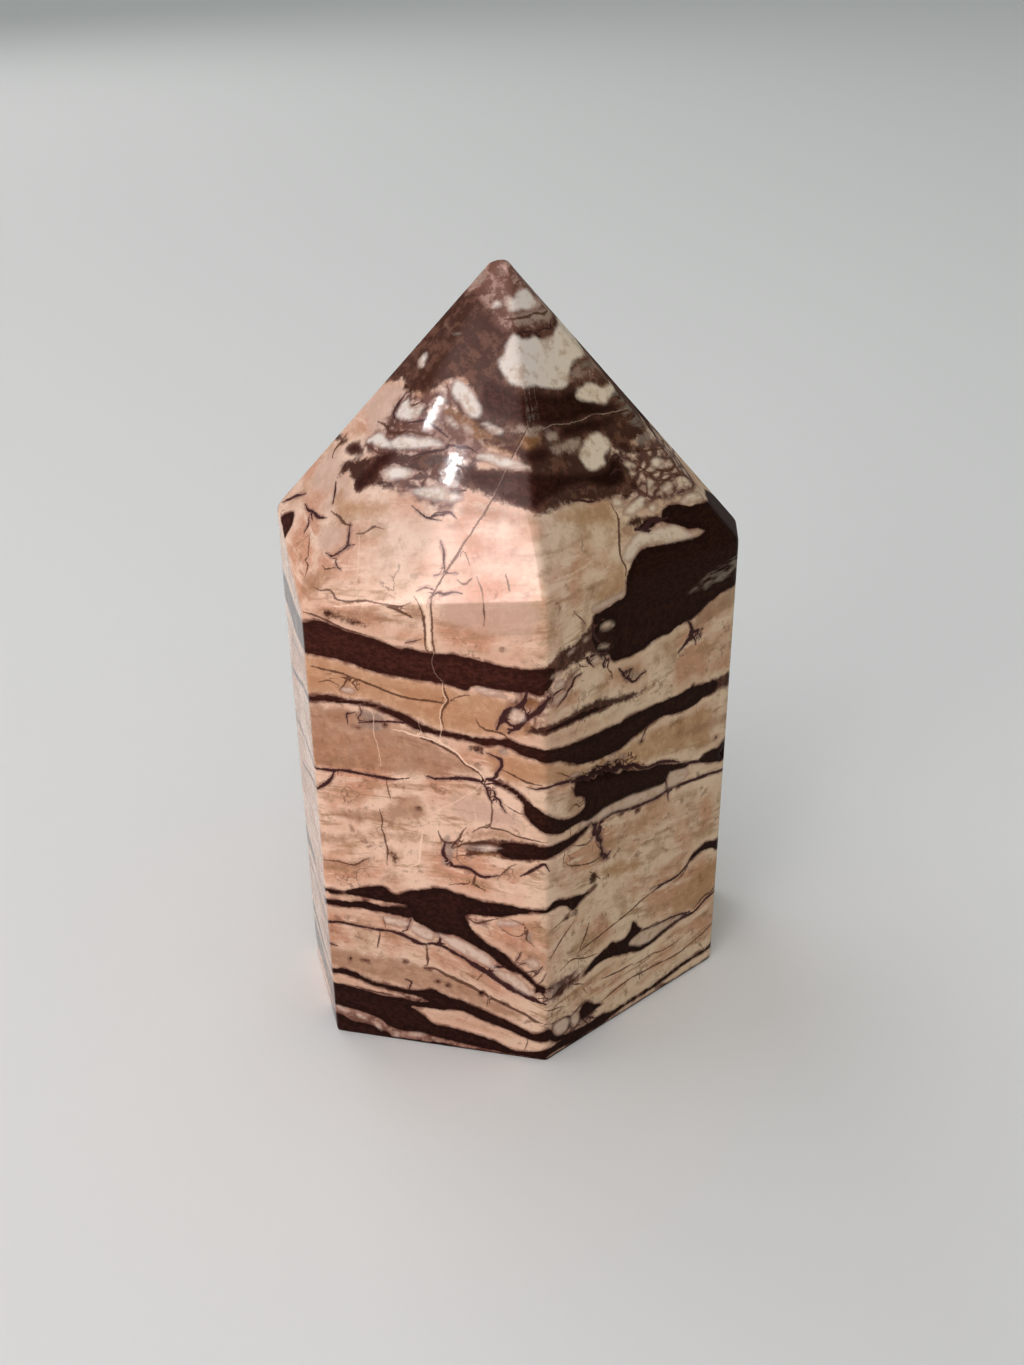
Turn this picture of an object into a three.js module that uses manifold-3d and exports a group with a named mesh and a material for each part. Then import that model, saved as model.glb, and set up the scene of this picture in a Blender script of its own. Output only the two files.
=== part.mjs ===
// A polished zebra jasper tower: one stone, cut to six upright faces under a six-sided point.
// Sizes are in millimetres, +Z is up, and the origin is the middle of the base.
import * as THREE from 'three';
import { mergeVertices } from 'three/addons/utils/BufferGeometryUtils.js';
import Module from 'manifold-3d';

const wasm = await Module();
wasm.setup();

// Plan of the six corners, going anticlockwise from the west, and the height where each
// upright edge meets the point. The stone was cut by hand, so no two faces match.
const CORNERS = [
  { name: 'west', x: -28.46, y: -0.9, shoulder: 66.9 },
  { name: 'southwest', x: -24.0, y: -17.2, shoulder: 60.9 },
  { name: 'south', x: 3.0, y: -23.3, shoulder: 64.4 },
  { name: 'east', x: 26.2, y: -3.4, shoulder: 63.1 },
  { name: 'northeast', x: 28.4, y: 12.8, shoulder: 58.5 },
  { name: 'north', x: -3.2, y: 23.32, shoulder: 63.0 },
];

// Five facets of the point meet in one sharp tip. The southeast one is ground a little
// deeper, so its top lies lower and to the right of the others.
const TIP = new THREE.Vector3(-1.7, 0.8, 95.9);
const SOUTHEAST_TIP = new THREE.Vector3(-0.62, -0.34, 94.8);
const SOUTHEAST_FACET = 2;

// The tip is worn to a small uneven cap by rubs that tilt three ways, and every edge is eased
// by polishing. The directions and tilts are in degrees.
const HEIGHT = 95.0;
const TIP_RUBS = [
  { towards: 200, tilt: 38, height: 95.12 },
  { towards: 80, tilt: 34, height: 95.08 },
  { towards: 320, tilt: 30, height: 95.15 },
];
const EASED_EDGE_DEPTH = 0.2;

// A rough hollow where a vein has pulled out, in the southeast face. Each lump of it is
// given by its place along the face, its height, half its length, half its height and its depth.
const HOLLOW_FACE = 2;
const HOLLOW_LUMPS = [
  { along: 4.4, height: 40.5, halfLength: 1.6, halfHeight: 0.35, depth: 0.5 },
  { along: 6.9, height: 39.9, halfLength: 1.9, halfHeight: 0.55, depth: 0.8 },
  { along: 9.6, height: 39.3, halfLength: 2.0, halfHeight: 0.8, depth: 1.0 },
  { along: 12.0, height: 39.2, halfLength: 1.7, halfHeight: 0.95, depth: 1.1 },
  { along: 13.9, height: 38.7, halfLength: 1.1, halfHeight: 0.75, depth: 0.8 },
];

// Two bites out of the edges. The first is a chip on the east upright edge, and the second is
// a rubbed scar near the top of the west ridge, measured down from the tip.
const EAST_CHIP = { corner: 3, height: 33.6, halfLength: 1.0, halfWidth: 0.8, depth: 0.55 };
const RIDGE_SCAR = { corner: 0, fromTip: 4.0, halfLength: 1.9, halfWidth: 0.7, depth: 0.4 };

// Each lump that is cut away has this share of unevenness.
const LUMP_ROUGHNESS = 0.16;

// A cutting block that is larger than the stone in every direction.
const BLOCK = 300;
const MERGE_DISTANCE = 1e-4;

// Closed solid from a three.js geometry, with its shared vertices merged.
function solidFrom(geometry) {
  const bare = geometry.clone();
  bare.deleteAttribute('normal');
  bare.deleteAttribute('uv');
  const merged = mergeVertices(bare, MERGE_DISTANCE);
  const vertProperties = new Float32Array(merged.attributes.position.array);
  const triVerts = new Uint32Array(merged.index.array);
  return new wasm.Manifold(new wasm.Mesh({ numProp: 3, vertProperties, triVerts }));
}

// Prism over the plan of the six corners, taller than the finished stone.
function uprightBlock() {
  const plan = new THREE.Shape(CORNERS.map((c) => new THREE.Vector2(c.x, c.y)));
  const geometry = new THREE.ExtrudeGeometry(plan, { depth: TIP.z + 1, bevelEnabled: false });
  return solidFrom(geometry);
}

// Removes everything that lies beyond a plane, on the side its normal points to.
function grind(solid, point, normal) {
  const geometry = new THREE.BoxGeometry(BLOCK, BLOCK, BLOCK);
  geometry.translate(0, 0, BLOCK / 2);
  const turn = new THREE.Quaternion().setFromUnitVectors(new THREE.Vector3(0, 0, 1), normal);
  geometry.applyQuaternion(turn);
  geometry.translate(point.x, point.y, point.z);
  return solid.subtract(solidFrom(geometry));
}

function foot(i) {
  const corner = CORNERS[i % CORNERS.length];
  return new THREE.Vector3(corner.x, corner.y, 0);
}

function shoulder(i) {
  const corner = CORNERS[i % CORNERS.length];
  return new THREE.Vector3(corner.x, corner.y, corner.shoulder);
}

// Outward normal of upright face i, which runs from corner i to the next one.
function sideNormal(i) {
  const run = foot(i + 1).sub(foot(i));
  return new THREE.Vector3(run.y, -run.x, 0).normalize();
}

// Facet i of the point, as the plane through two shoulder corners and its own tip.
function facetNormal(i) {
  const top = i === SOUTHEAST_FACET ? SOUTHEAST_TIP : TIP;
  const first = shoulder(i + 1).sub(shoulder(i));
  const second = top.clone().sub(shoulder(i));
  return first.cross(second).normalize();
}

// Every edge between two planes, as one point on it and the two outward normals.
function edges() {
  const found = [];
  const down = new THREE.Vector3(0, 0, -1);
  CORNERS.forEach((corner, i) => {
    const before = (i + CORNERS.length - 1) % CORNERS.length;
    found.push({ point: foot(i), normals: [sideNormal(before), sideNormal(i)] });
    found.push({ point: shoulder(i), normals: [facetNormal(before), facetNormal(i)] });
    found.push({ point: shoulder(i), normals: [sideNormal(i), facetNormal(i)] });
    found.push({ point: foot(i), normals: [sideNormal(i), down] });
  });
  return found;
}

function easeEdges(solid) {
  let eased = solid;
  for (const edge of edges()) {
    const normal = edge.normals[0].clone().add(edge.normals[1]).normalize();
    const point = edge.point.clone().addScaledVector(normal, -EASED_EDGE_DEPTH);
    eased = grind(eased, point, normal);
  }
  return eased;
}

// Small flat cap with the tilted rubs round it.
function wearTip(solid) {
  const up = new THREE.Vector3(0, 0, 1);
  let worn = grind(solid, new THREE.Vector3(0, 0, HEIGHT), up);
  for (const rub of TIP_RUBS) {
    const tilt = THREE.MathUtils.degToRad(rub.tilt);
    const towards = THREE.MathUtils.degToRad(rub.towards);
    const flat = Math.sin(tilt);
    const normal = new THREE.Vector3(
      flat * Math.cos(towards),
      flat * Math.sin(towards),
      Math.cos(tilt),
    );
    worn = grind(worn, new THREE.Vector3(TIP.x, TIP.y, rub.height), normal);
  }
  return worn;
}

// Rough rounded lump, uneven by a fixed wave so that it is the same each time.
function lump(center, axes, radii) {
  const round = new THREE.IcosahedronGeometry(1, 1);
  round.deleteAttribute('normal');
  round.deleteAttribute('uv');
  const geometry = mergeVertices(round, MERGE_DISTANCE);
  const spot = geometry.attributes.position;
  const at = new THREE.Vector3();
  for (let i = 0; i < spot.count; i += 1) {
    at.fromBufferAttribute(spot, i);
    const wave = Math.sin(5.1 * at.x + center.x) * Math.cos(4.3 * at.y + 2.7 * at.z + center.z);
    at.multiplyScalar(1 + LUMP_ROUGHNESS * wave);
    const place = center.clone();
    axes.forEach((axis, k) => place.addScaledVector(axis, at.getComponent(k) * radii[k]));
    spot.setXYZ(i, place.x, place.y, place.z);
  }
  return solidFrom(geometry);
}

function cutHollow(solid) {
  const normal = sideNormal(HOLLOW_FACE);
  const along = foot(HOLLOW_FACE + 1).sub(foot(HOLLOW_FACE)).normalize();
  const up = new THREE.Vector3(0, 0, 1);
  const axes = [normal.clone(), along.clone(), up];
  let hollowed = solid;
  for (const part of HOLLOW_LUMPS) {
    const center = foot(HOLLOW_FACE).addScaledVector(along, part.along);
    center.z = part.height;
    const radii = [part.depth, part.halfLength, part.halfHeight];
    hollowed = hollowed.subtract(lump(center, axes, radii));
  }
  return hollowed;
}

// Bites a lump out of an edge. Its run is the way the edge goes.
function biteEdge(solid, center, outward, run, bite) {
  const across = run.clone().cross(outward).normalize();
  const radii = [bite.depth, bite.halfWidth, bite.halfLength];
  return solid.subtract(lump(center, [outward, across, run], radii));
}

function chipEastEdge(solid) {
  const corner = EAST_CHIP.corner;
  const outward = sideNormal(corner - 1).add(sideNormal(corner)).normalize();
  const center = foot(corner);
  center.z = EAST_CHIP.height;
  return biteEdge(solid, center, outward, new THREE.Vector3(0, 0, 1), EAST_CHIP);
}

function scarWestRidge(solid) {
  const corner = RIDGE_SCAR.corner;
  const last = CORNERS.length - 1;
  const outward = facetNormal(last).add(facetNormal(corner)).normalize();
  const run = shoulder(corner).sub(TIP).normalize();
  const center = TIP.clone().addScaledVector(run, RIDGE_SCAR.fromTip);
  return biteEdge(solid, center, outward, run, RIDGE_SCAR);
}

function cutStone() {
  let solid = uprightBlock();
  CORNERS.forEach((corner, i) => {
    solid = grind(solid, shoulder(i), facetNormal(i));
  });
  solid = easeEdges(solid);
  solid = wearTip(solid);
  solid = cutHollow(solid);
  solid = chipEastEdge(solid);
  return scarWestRidge(solid);
}

function geometryOf(solid) {
  const mesh = solid.getMesh();
  const geometry = new THREE.BufferGeometry();
  geometry.setAttribute('position', new THREE.BufferAttribute(mesh.vertProperties, 3));
  geometry.setIndex(new THREE.BufferAttribute(mesh.triVerts, 1));
  return geometry;
}

const jasper = new THREE.MeshStandardMaterial({
  color: 0x6f5446,
  roughness: 0.18,
  metalness: 0.0,
  flatShading: true,
});

const tower = new THREE.Mesh(geometryOf(cutStone()), jasper);
tower.name = 'jasper_tower';

const zebraJasperTower = new THREE.Group();
zebraJasperTower.add(tower);

export default zebraJasperTower;
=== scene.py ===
"""A zebra jasper tower on a pale floor: the stone's shape, its markings, its polish and the studio.

Lengths are in millimetres until a mesh, a light or the camera is made. Places on the stone are
given as (along, height): along is the distance round the walls from the west corner, going
anticlockwise seen from above, and height is the height over the base. Above the walls, along
keeps the column that runs up the facet to the tip.
"""
import logging
import math
from dataclasses import dataclass
from enum import Enum

import bpy
import numpy as np
from mathutils import Matrix, Vector


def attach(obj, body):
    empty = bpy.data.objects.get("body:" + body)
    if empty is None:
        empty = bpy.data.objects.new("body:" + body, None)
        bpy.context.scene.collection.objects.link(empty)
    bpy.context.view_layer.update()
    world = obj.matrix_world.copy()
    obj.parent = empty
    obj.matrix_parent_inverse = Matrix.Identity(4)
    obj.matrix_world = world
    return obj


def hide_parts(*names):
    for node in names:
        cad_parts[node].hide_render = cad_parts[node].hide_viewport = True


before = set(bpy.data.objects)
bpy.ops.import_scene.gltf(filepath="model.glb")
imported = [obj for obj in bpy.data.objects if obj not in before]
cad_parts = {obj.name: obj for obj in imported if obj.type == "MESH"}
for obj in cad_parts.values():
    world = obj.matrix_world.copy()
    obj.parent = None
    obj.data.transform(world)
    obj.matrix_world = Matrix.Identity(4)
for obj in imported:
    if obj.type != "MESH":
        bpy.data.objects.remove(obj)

LOG = logging.getLogger("tower")
MILLIMETRE = 0.001
NOWHERE = -1000.0
OVAL_POINTS = 20
TINY = 1e-9
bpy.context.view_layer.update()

# A course lists the along and the height of its points, one after another.
Course = tuple[float, ...]


# The shape of the stone


@dataclass(frozen=True)
class Corner:
    """One upright edge of the tower: its place in plan, and where it meets the point."""

    name: str
    x: float
    y: float
    shoulder: float


@dataclass(frozen=True)
class Hollow:
    """A rough hollow, as a course of (along, height, half its height there, depth) points."""

    course: tuple[tuple[float, float, float, float], ...]
    unevenness: float = 0.35
    wander: float = 0.22
    squareness: float = 3.0
    steepness: float = 0.6
    shallowest: float = 0.3
    deepest: float = 1.6


@dataclass
class TowerShape:
    """The faceted stone and the way its surface unrolls."""

    corners: tuple[Corner, ...] = (
        Corner("west", -28.46, -0.9, 66.9),
        Corner("southwest", -24.0, -17.2, 60.9),
        Corner("south", 3.0, -23.3, 64.4),
        Corner("east", 26.2, -3.4, 63.1),
        Corner("northeast", 28.4, 12.8, 58.5),
        Corner("north", -3.2, 23.32, 63.0),
    )
    tip: tuple[float, float, float] = (-1.7, 0.8, 95.9)
    southeast_tip: tuple[float, float, float] = (-0.62, -0.34, 94.8)
    southeast_facet: int = 2
    height: float = 95.0
    easing: float = 0.19
    easing_limits: tuple[float, float] = (-60.0, 2.0)
    seen_spacing: float = 0.31
    hidden_spacing: float = 0.8
    seen_faces: tuple[int, ...] = (0, 1, 2)
    far_face: int = 3
    row_spacing: float = 0.43
    facet_row_spacing: float = 0.4
    edge_steps: tuple[float, ...] = (0.0, 0.13, 0.28, 0.48, 0.75)
    cap_share: float = 0.955
    cap_rings: int = 4
    least_narrowing: float = 0.08

    def __post_init__(self) -> None:
        """Works out the widths, the planes and the tops of the ridges."""
        self.count = len(self.corners)
        self.plan = np.array([(c.x, c.y) for c in self.corners])
        self.shoulders = np.array([c.shoulder for c in self.corners])
        onward = np.roll(self.plan, -1, axis=0) - self.plan
        self.widths = np.linalg.norm(onward, axis=1)
        self.starts = np.concatenate([[0.0], np.cumsum(self.widths)])
        self.girth = float(self.starts[-1])
        self.seam = float(self.starts[self.count - 1])
        self.planes = [self._wall(i) for i in range(self.count)]
        self.planes += [self._facet(i) for i in range(self.count)]
        self.planes.append((np.array([0.0, 0.0, -1.0]), 0.0))
        self.ridge_tops = np.array([self._ridge_top(i) for i in range(self.count)])

    def _wall(self, i: int) -> tuple[np.ndarray, float]:
        """Outward normal of wall i and its distance from the middle."""
        run = self.plan[(i + 1) % self.count] - self.plan[i]
        normal = np.array([run[1], -run[0], 0.0]) / np.linalg.norm(run)
        return normal, float(normal[:2] @ self.plan[i])

    def _facet(self, i: int) -> tuple[np.ndarray, float]:
        """Outward normal of facet i of the point and its distance from the middle."""
        first = np.append(self.plan[i], self.shoulders[i])
        second = np.append(self.plan[(i + 1) % self.count], self.shoulders[(i + 1) % self.count])
        top = self.southeast_tip if i == self.southeast_facet else self.tip
        normal = np.cross(second - first, np.array(top) - first)
        normal /= np.linalg.norm(normal)
        return normal, float(normal @ first)

    def _ridge_top(self, i: int) -> np.ndarray:
        """Top of the ridge over corner i. The two ridges of the southeast facet end lower."""
        if i not in (self.southeast_facet, self.southeast_facet + 1):
            return np.array(self.tip)
        (one, reach_one), (two, reach_two) = self._facet(i - 1), self._facet(i)
        flat = np.array([one[:2], two[:2]])
        rest = np.array([reach_one - one[2] * self.height, reach_two - two[2] * self.height])
        return np.append(np.linalg.solve(flat, rest), self.height)

    def spine(self, along: np.ndarray) -> tuple[np.ndarray, np.ndarray]:
        """Shoulder point and top point of the column at each place along the walls."""
        turned = np.mod(along, self.girth)
        face = np.clip(np.searchsorted(self.starts, turned, side="right") - 1, 0, self.count - 1)
        share = ((turned - self.starts[face]) / self.widths[face])[..., None]
        after = (face + 1) % self.count
        edge = np.column_stack([self.plan, self.shoulders])
        shoulder = edge[face] * (1 - share) + edge[after] * share
        top = self.ridge_tops[face] * (1 - share) + self.ridge_tops[after] * share
        return shoulder, top

    def place(self, along: np.ndarray, height: np.ndarray) -> np.ndarray:
        """Points on the sharp-edged stone at these places."""
        along, height = np.broadcast_arrays(np.asarray(along, float), np.asarray(height, float))
        shoulder, top = self.spine(along)
        rise = (height - shoulder[..., 2]) / (top[..., 2] - shoulder[..., 2])
        points = shoulder + (top - shoulder) * np.clip(rise, 0.0, 1.0)[..., None]
        points[..., 2] = np.where(rise < 0, height, points[..., 2])
        return points

    def narrowing(self, height: float) -> float:
        """How much narrower the point is at a height than the walls below it."""
        lowest = float(self.shoulders.min())
        return max(self.least_narrowing, min(1.0, (self.tip[2] - height) / (self.tip[2] - lowest)))

    def ease(self, points: np.ndarray) -> tuple[np.ndarray, np.ndarray]:
        """Rounds the edges: moves each point inwards where planes meet.

        Args:
            points: Points on the sharp-edged stone.

        Returns:
            The moved points, and the outward normal at each.
        """
        normals = np.array([normal for normal, _ in self.planes])
        reach = np.array([distance for _, distance in self.planes])
        over = (points @ normals.T - reach) / self.easing
        weights = np.exp(np.clip(over, *self.easing_limits))
        total = weights.sum(axis=-1, keepdims=True)
        depth = self.easing * np.log(np.maximum(total, 1.0))
        outward = weights @ normals
        outward /= np.linalg.norm(outward, axis=-1, keepdims=True)
        return points - outward * depth, outward

    def columns(self) -> np.ndarray:
        """Places along the walls where the mesh has a column, closer near the corners."""
        found = []
        for face in range(self.count):
            start, width = self.starts[face], self.widths[face]
            step = self.seen_spacing if face in self.seen_faces else self.hidden_spacing
            inner = width - 2 * self.edge_steps[-1]
            middle = np.linspace(0, inner, max(2, round(inner / step)) + 1)[1:-1]
            near = np.array(self.edge_steps)
            found += [start + near, start + near[-1] + middle, start + width - near[:0:-1]]
        along = np.concatenate(found)
        return np.where(along >= self.seam - TINY, along - self.girth, along)

    def rows(self, along: np.ndarray) -> np.ndarray:
        """Heights of the mesh rows in each column."""
        shoulder, top = self.spine(along)
        rim, peak = shoulder[:, 2], top[:, 2]
        near = np.array(self.edge_steps)
        wall_rows = round((float(rim.mean()) - 2 * near[-1]) / self.row_spacing)
        low = np.broadcast_to(near, (len(along), len(near)))
        share = np.linspace(0, 1, wall_rows + 1)[1:-1]
        middle = near[-1] + (rim[:, None] - 2 * near[-1]) * share
        high = rim[:, None] - near[::-1]
        wall = np.concatenate([low, middle, high], axis=1)
        facet_rows = round((self.tip[2] - float(rim.mean())) / self.facet_row_spacing)
        start = near[1:] / (peak.max() - rim.mean())
        share = np.concatenate([start, np.linspace(start[-1], self.cap_share, facet_rows)[1:]])
        facet = rim[:, None] + (peak - rim)[:, None] * share
        return np.concatenate([wall, facet], axis=1)


@dataclass
class StoneMesh:
    """The fine mesh of the stone, and where each of its points lies on the unrolled surface."""

    shape: TowerShape
    hollows: tuple[Hollow, ...]
    base_shares: tuple[float, ...] = (0.995, 0.985, 0.97, 0.7, 0.35)
    flat_ring: int = 2
    base_middle: float = -20.0

    def __post_init__(self) -> None:
        """Lays out the points of the walls, the point, the cap and the base."""
        shape = self.shape
        along = shape.columns()
        heights = shape.rows(along)
        self.column_count = len(along)
        grid = np.broadcast_to(along[:, None], heights.shape)
        sharp = shape.place(grid, heights)
        eased, self.outward = shape.ease(sharp)
        self.grid_along, self.grid_height = grid, heights
        whole = eased.transpose(1, 0, 2).reshape(-1, 3)
        for hollow in self.hollows:
            eased = self._sink(eased, hollow)
        rings = [eased[:, row] for row in range(eased.shape[1])]
        places = [np.stack([along, heights[:, row]], axis=-1) for row in range(eased.shape[1])]
        rings, places = self._cap(rings, places)
        rings, places = self._base(rings, places)
        self.points, self.places = np.concatenate(rings), np.concatenate(places)
        self.ring_count = len(rings)
        self._poles()
        self.surface = self.points.copy()
        first = len(self.base_shares) * self.column_count
        self.surface[first : first + len(whole)] = whole

    def _sink(self, points: np.ndarray, hollow: Hollow) -> np.ndarray:
        """Pushes the surface in along a hollow, with an uneven floor."""
        course = np.array(hollow.course)
        along, height = self.grid_along, self.grid_height
        middle = np.interp(along, course[:, 0], course[:, 1], left=NOWHERE, right=NOWHERE)
        half = np.interp(along, course[:, 0], course[:, 2])
        depth = np.interp(along, course[:, 0], course[:, 3])
        wave = np.sin(5.3 * along + 1.7 * height) * np.cos(3.9 * height - 2.1 * along)
        ripple = np.sin(11.0 * along - 4.0 * height) * np.sin(9.0 * height + 3.0 * along)
        off = np.abs(height - middle + hollow.wander * wave) / half
        bowl = np.clip(1.0 - off**hollow.squareness, 0.0, 1.0) ** hollow.steepness
        floor = 1.0 + hollow.unevenness * (0.6 * wave + 0.4 * ripple)
        floor = np.clip(floor, hollow.shallowest, hollow.deepest)
        return points - self.outward * (depth * bowl * floor)[..., None]

    def _cap(self, rings: list, places: list) -> tuple[list, list]:
        """Closes the tip with a small worn dome."""
        last, place = rings[-1], places[-1]
        middle = last[:, :2].mean(axis=0)
        for step in range(1, self.shape.cap_rings):
            share = 1 - step / self.shape.cap_rings
            ring = last.copy()
            ring[:, :2] = middle + (last[:, :2] - middle) * share
            ring[:, 2] = last[:, 2] * share**2 + self.shape.height * (1 - share**2)
            rings.append(ring)
            places.append(np.stack([place[:, 0], ring[:, 2]], axis=-1))
        self.peak = np.append(middle, self.shape.height)
        return rings, places

    def _base(self, rings: list, places: list) -> tuple[list, list]:
        """Adds the rings of the flat base, from the outside in, before the walls."""
        first, place = rings[0], places[0]
        for share in self.base_shares:
            ring = first.copy()
            ring[:, :2] *= share
            flat = self.base_shares[self.flat_ring]
            ring[:, 2] = first[:, 2] * max(0.0, (share - flat) / (1 - flat))
            rings.insert(0, ring)
            inward = (1 - share) * np.linalg.norm(first[:, :2], axis=1)
            places.insert(0, np.stack([place[:, 0], -inward], axis=-1))
        return rings, places

    def _poles(self) -> None:
        """Adds the middle of the base and the peak as two single points."""
        low = np.array([0.0, 0.0, 0.0])
        self.points = np.concatenate([self.points, [low, self.peak]])
        ends = [(0.0, self.base_middle), (0.0, self.shape.height)]
        self.places = np.concatenate([self.places, ends])

    def faces(self) -> list[tuple[int, ...]]:
        """Quads between the rings, and a fan at each pole."""
        columns, rings = self.column_count, self.ring_count
        found = []
        for ring in range(rings - 1):
            low, high = ring * columns, (ring + 1) * columns
            for i in range(columns):
                j = (i + 1) % columns
                found.append((low + i, low + j, high + j, high + i))
        bottom, top = rings * columns, rings * columns + 1
        last = (rings - 1) * columns
        for i in range(columns):
            j = (i + 1) % columns
            found.append((bottom, j, i))
            found.append((last + i, last + j, top))
        return found

    def build(self, name: str) -> bpy.types.Object:
        """Makes the smooth-shaded mesh object and links it to the scene."""
        mesh = bpy.data.meshes.new(name)
        mesh.from_pydata((self.points * MILLIMETRE).tolist(), [], self.faces())
        mesh.polygons.foreach_set("use_smooth", [True] * len(mesh.polygons))
        mesh.update()
        stone = bpy.data.objects.new(name, mesh)
        bpy.context.scene.collection.objects.link(stone)
        return stone


# The kinds of marking


class Tone(Enum):
    """What a marking is made of. Each has its own colour and softness of edge."""

    DARK = "dark"
    BROWN = "brown"
    SHADE = "shade"
    TAN = "tan"
    PALE = "pale"
    GREY = "grey"
    MAUVE = "mauve"
    BUFF = "buff"
    MARBLE = "marble"
    AMBER = "amber"
    CRUST = "crust"
    ROSE = "rose"
    FILM = "film"


class Thread(Enum):
    """What a thin line is made of."""

    DARK = "dark_thread"
    BROWN = "brown_thread"
    PALE = "pale_thread"


Layers = dict[Tone, tuple[tuple[Course, Course], ...]]
Outlines = dict[Tone, tuple[Course, ...]]
Threads = dict[Thread, tuple[Course, ...]]


@dataclass(frozen=True)
class Layer:
    """A layer of the stone between its top and bottom edges, both from left to right."""

    tone: Tone
    top: Course
    bottom: Course

    def outline(self) -> np.ndarray:
        """The closed outline, with its edges smoothed."""
        return np.concatenate([smooth(pairs(self.top)), smooth(pairs(self.bottom))[::-1]])


@dataclass(frozen=True)
class Patch:
    """A marking with a closed outline."""

    tone: Tone
    edge: Course

    def outline(self) -> np.ndarray:
        """The closed outline, smoothed all round."""
        edge = pairs(self.edge)
        closed = smooth(np.concatenate([edge[-1:], edge, edge[:2]]))
        first = np.argmin(np.linalg.norm(closed - edge[0], axis=1))
        last = len(closed) - 1 - np.argmin(np.linalg.norm(closed[::-1] - edge[0], axis=1))
        return closed[first:last]


@dataclass(frozen=True)
class Pebble:
    """A rounded fragment: its middle, length, thickness and tilt in degrees."""

    tone: Tone
    along: float
    height: float
    length: float
    thickness: float
    tilt: float = 0.0

    def outline(self) -> np.ndarray:
        """A slightly uneven oval."""
        turn = np.linspace(0, 2 * math.pi, OVAL_POINTS, endpoint=False)
        swell = 0.5 + 0.05 * np.sin(3 * turn + self.along) + 0.04 * np.sin(5 * turn + self.height)
        across, up = self.length * swell * np.cos(turn), self.thickness * swell * np.sin(turn)
        tilt = math.radians(self.tilt)
        along = self.along + across * math.cos(tilt) - up * math.sin(tilt)
        height = self.height + across * math.sin(tilt) + up * math.cos(tilt)
        return np.stack([along, height], axis=-1)


@dataclass(frozen=True)
class Line:
    """A thin line: a vein or a healed crack, with its width in millimetres."""

    thread: Thread
    width: float
    course: Course


@dataclass(frozen=True)
class Region:
    """The markings of one part of the stone, by kind and by what they are made of."""

    name: str
    layers: Layers
    patches: Outlines
    pebbles: Outlines
    lines: Threads

    def areas(self) -> list[Layer | Patch | Pebble]:
        """The markings that cover an area."""
        found = [Layer(tone, *edges) for tone, group in self.layers.items() for edges in group]
        found += [Patch(tone, edge) for tone, group in self.patches.items() for edge in group]
        return found + [Pebble(tone, *sizes) for tone, group in self.pebbles.items() for sizes in group]

    def threads(self) -> list[Line]:
        """The thin lines, which list their width before their course."""
        lines = [(thread, line) for thread, group in self.lines.items() for line in group]
        return [Line(thread, width, tuple(course)) for thread, (width, *course) in lines]


def pairs(course: Course) -> np.ndarray:
    """The points of a course, each as its along and its height."""
    return np.reshape(np.array(course, float), (-1, 2))


def smooth(points: np.ndarray, step: float = 0.45) -> np.ndarray:
    """A smooth curve through the points.

    Args:
        points: Points that the curve passes through.
        step: Longest distance between the points of the curve.

    Returns:
        The points of the curve.
    """
    ends = np.concatenate([[2 * points[0] - points[1]], points, [2 * points[-1] - points[-2]]])
    found = []
    for before, start, end, after in zip(ends, ends[1:], ends[2:], ends[3:]):
        count = max(1, math.ceil(np.linalg.norm(end - start) / step))
        t = (np.arange(count) / count)[:, None]
        bend = 2 * before - 5 * start + 4 * end - after
        turn = 3 * start - before - 3 * end + after
        found.append(start + 0.5 * t * ((end - before) + t * (bend + t * turn)))
    return np.concatenate([*found, points[-1:]])


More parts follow.
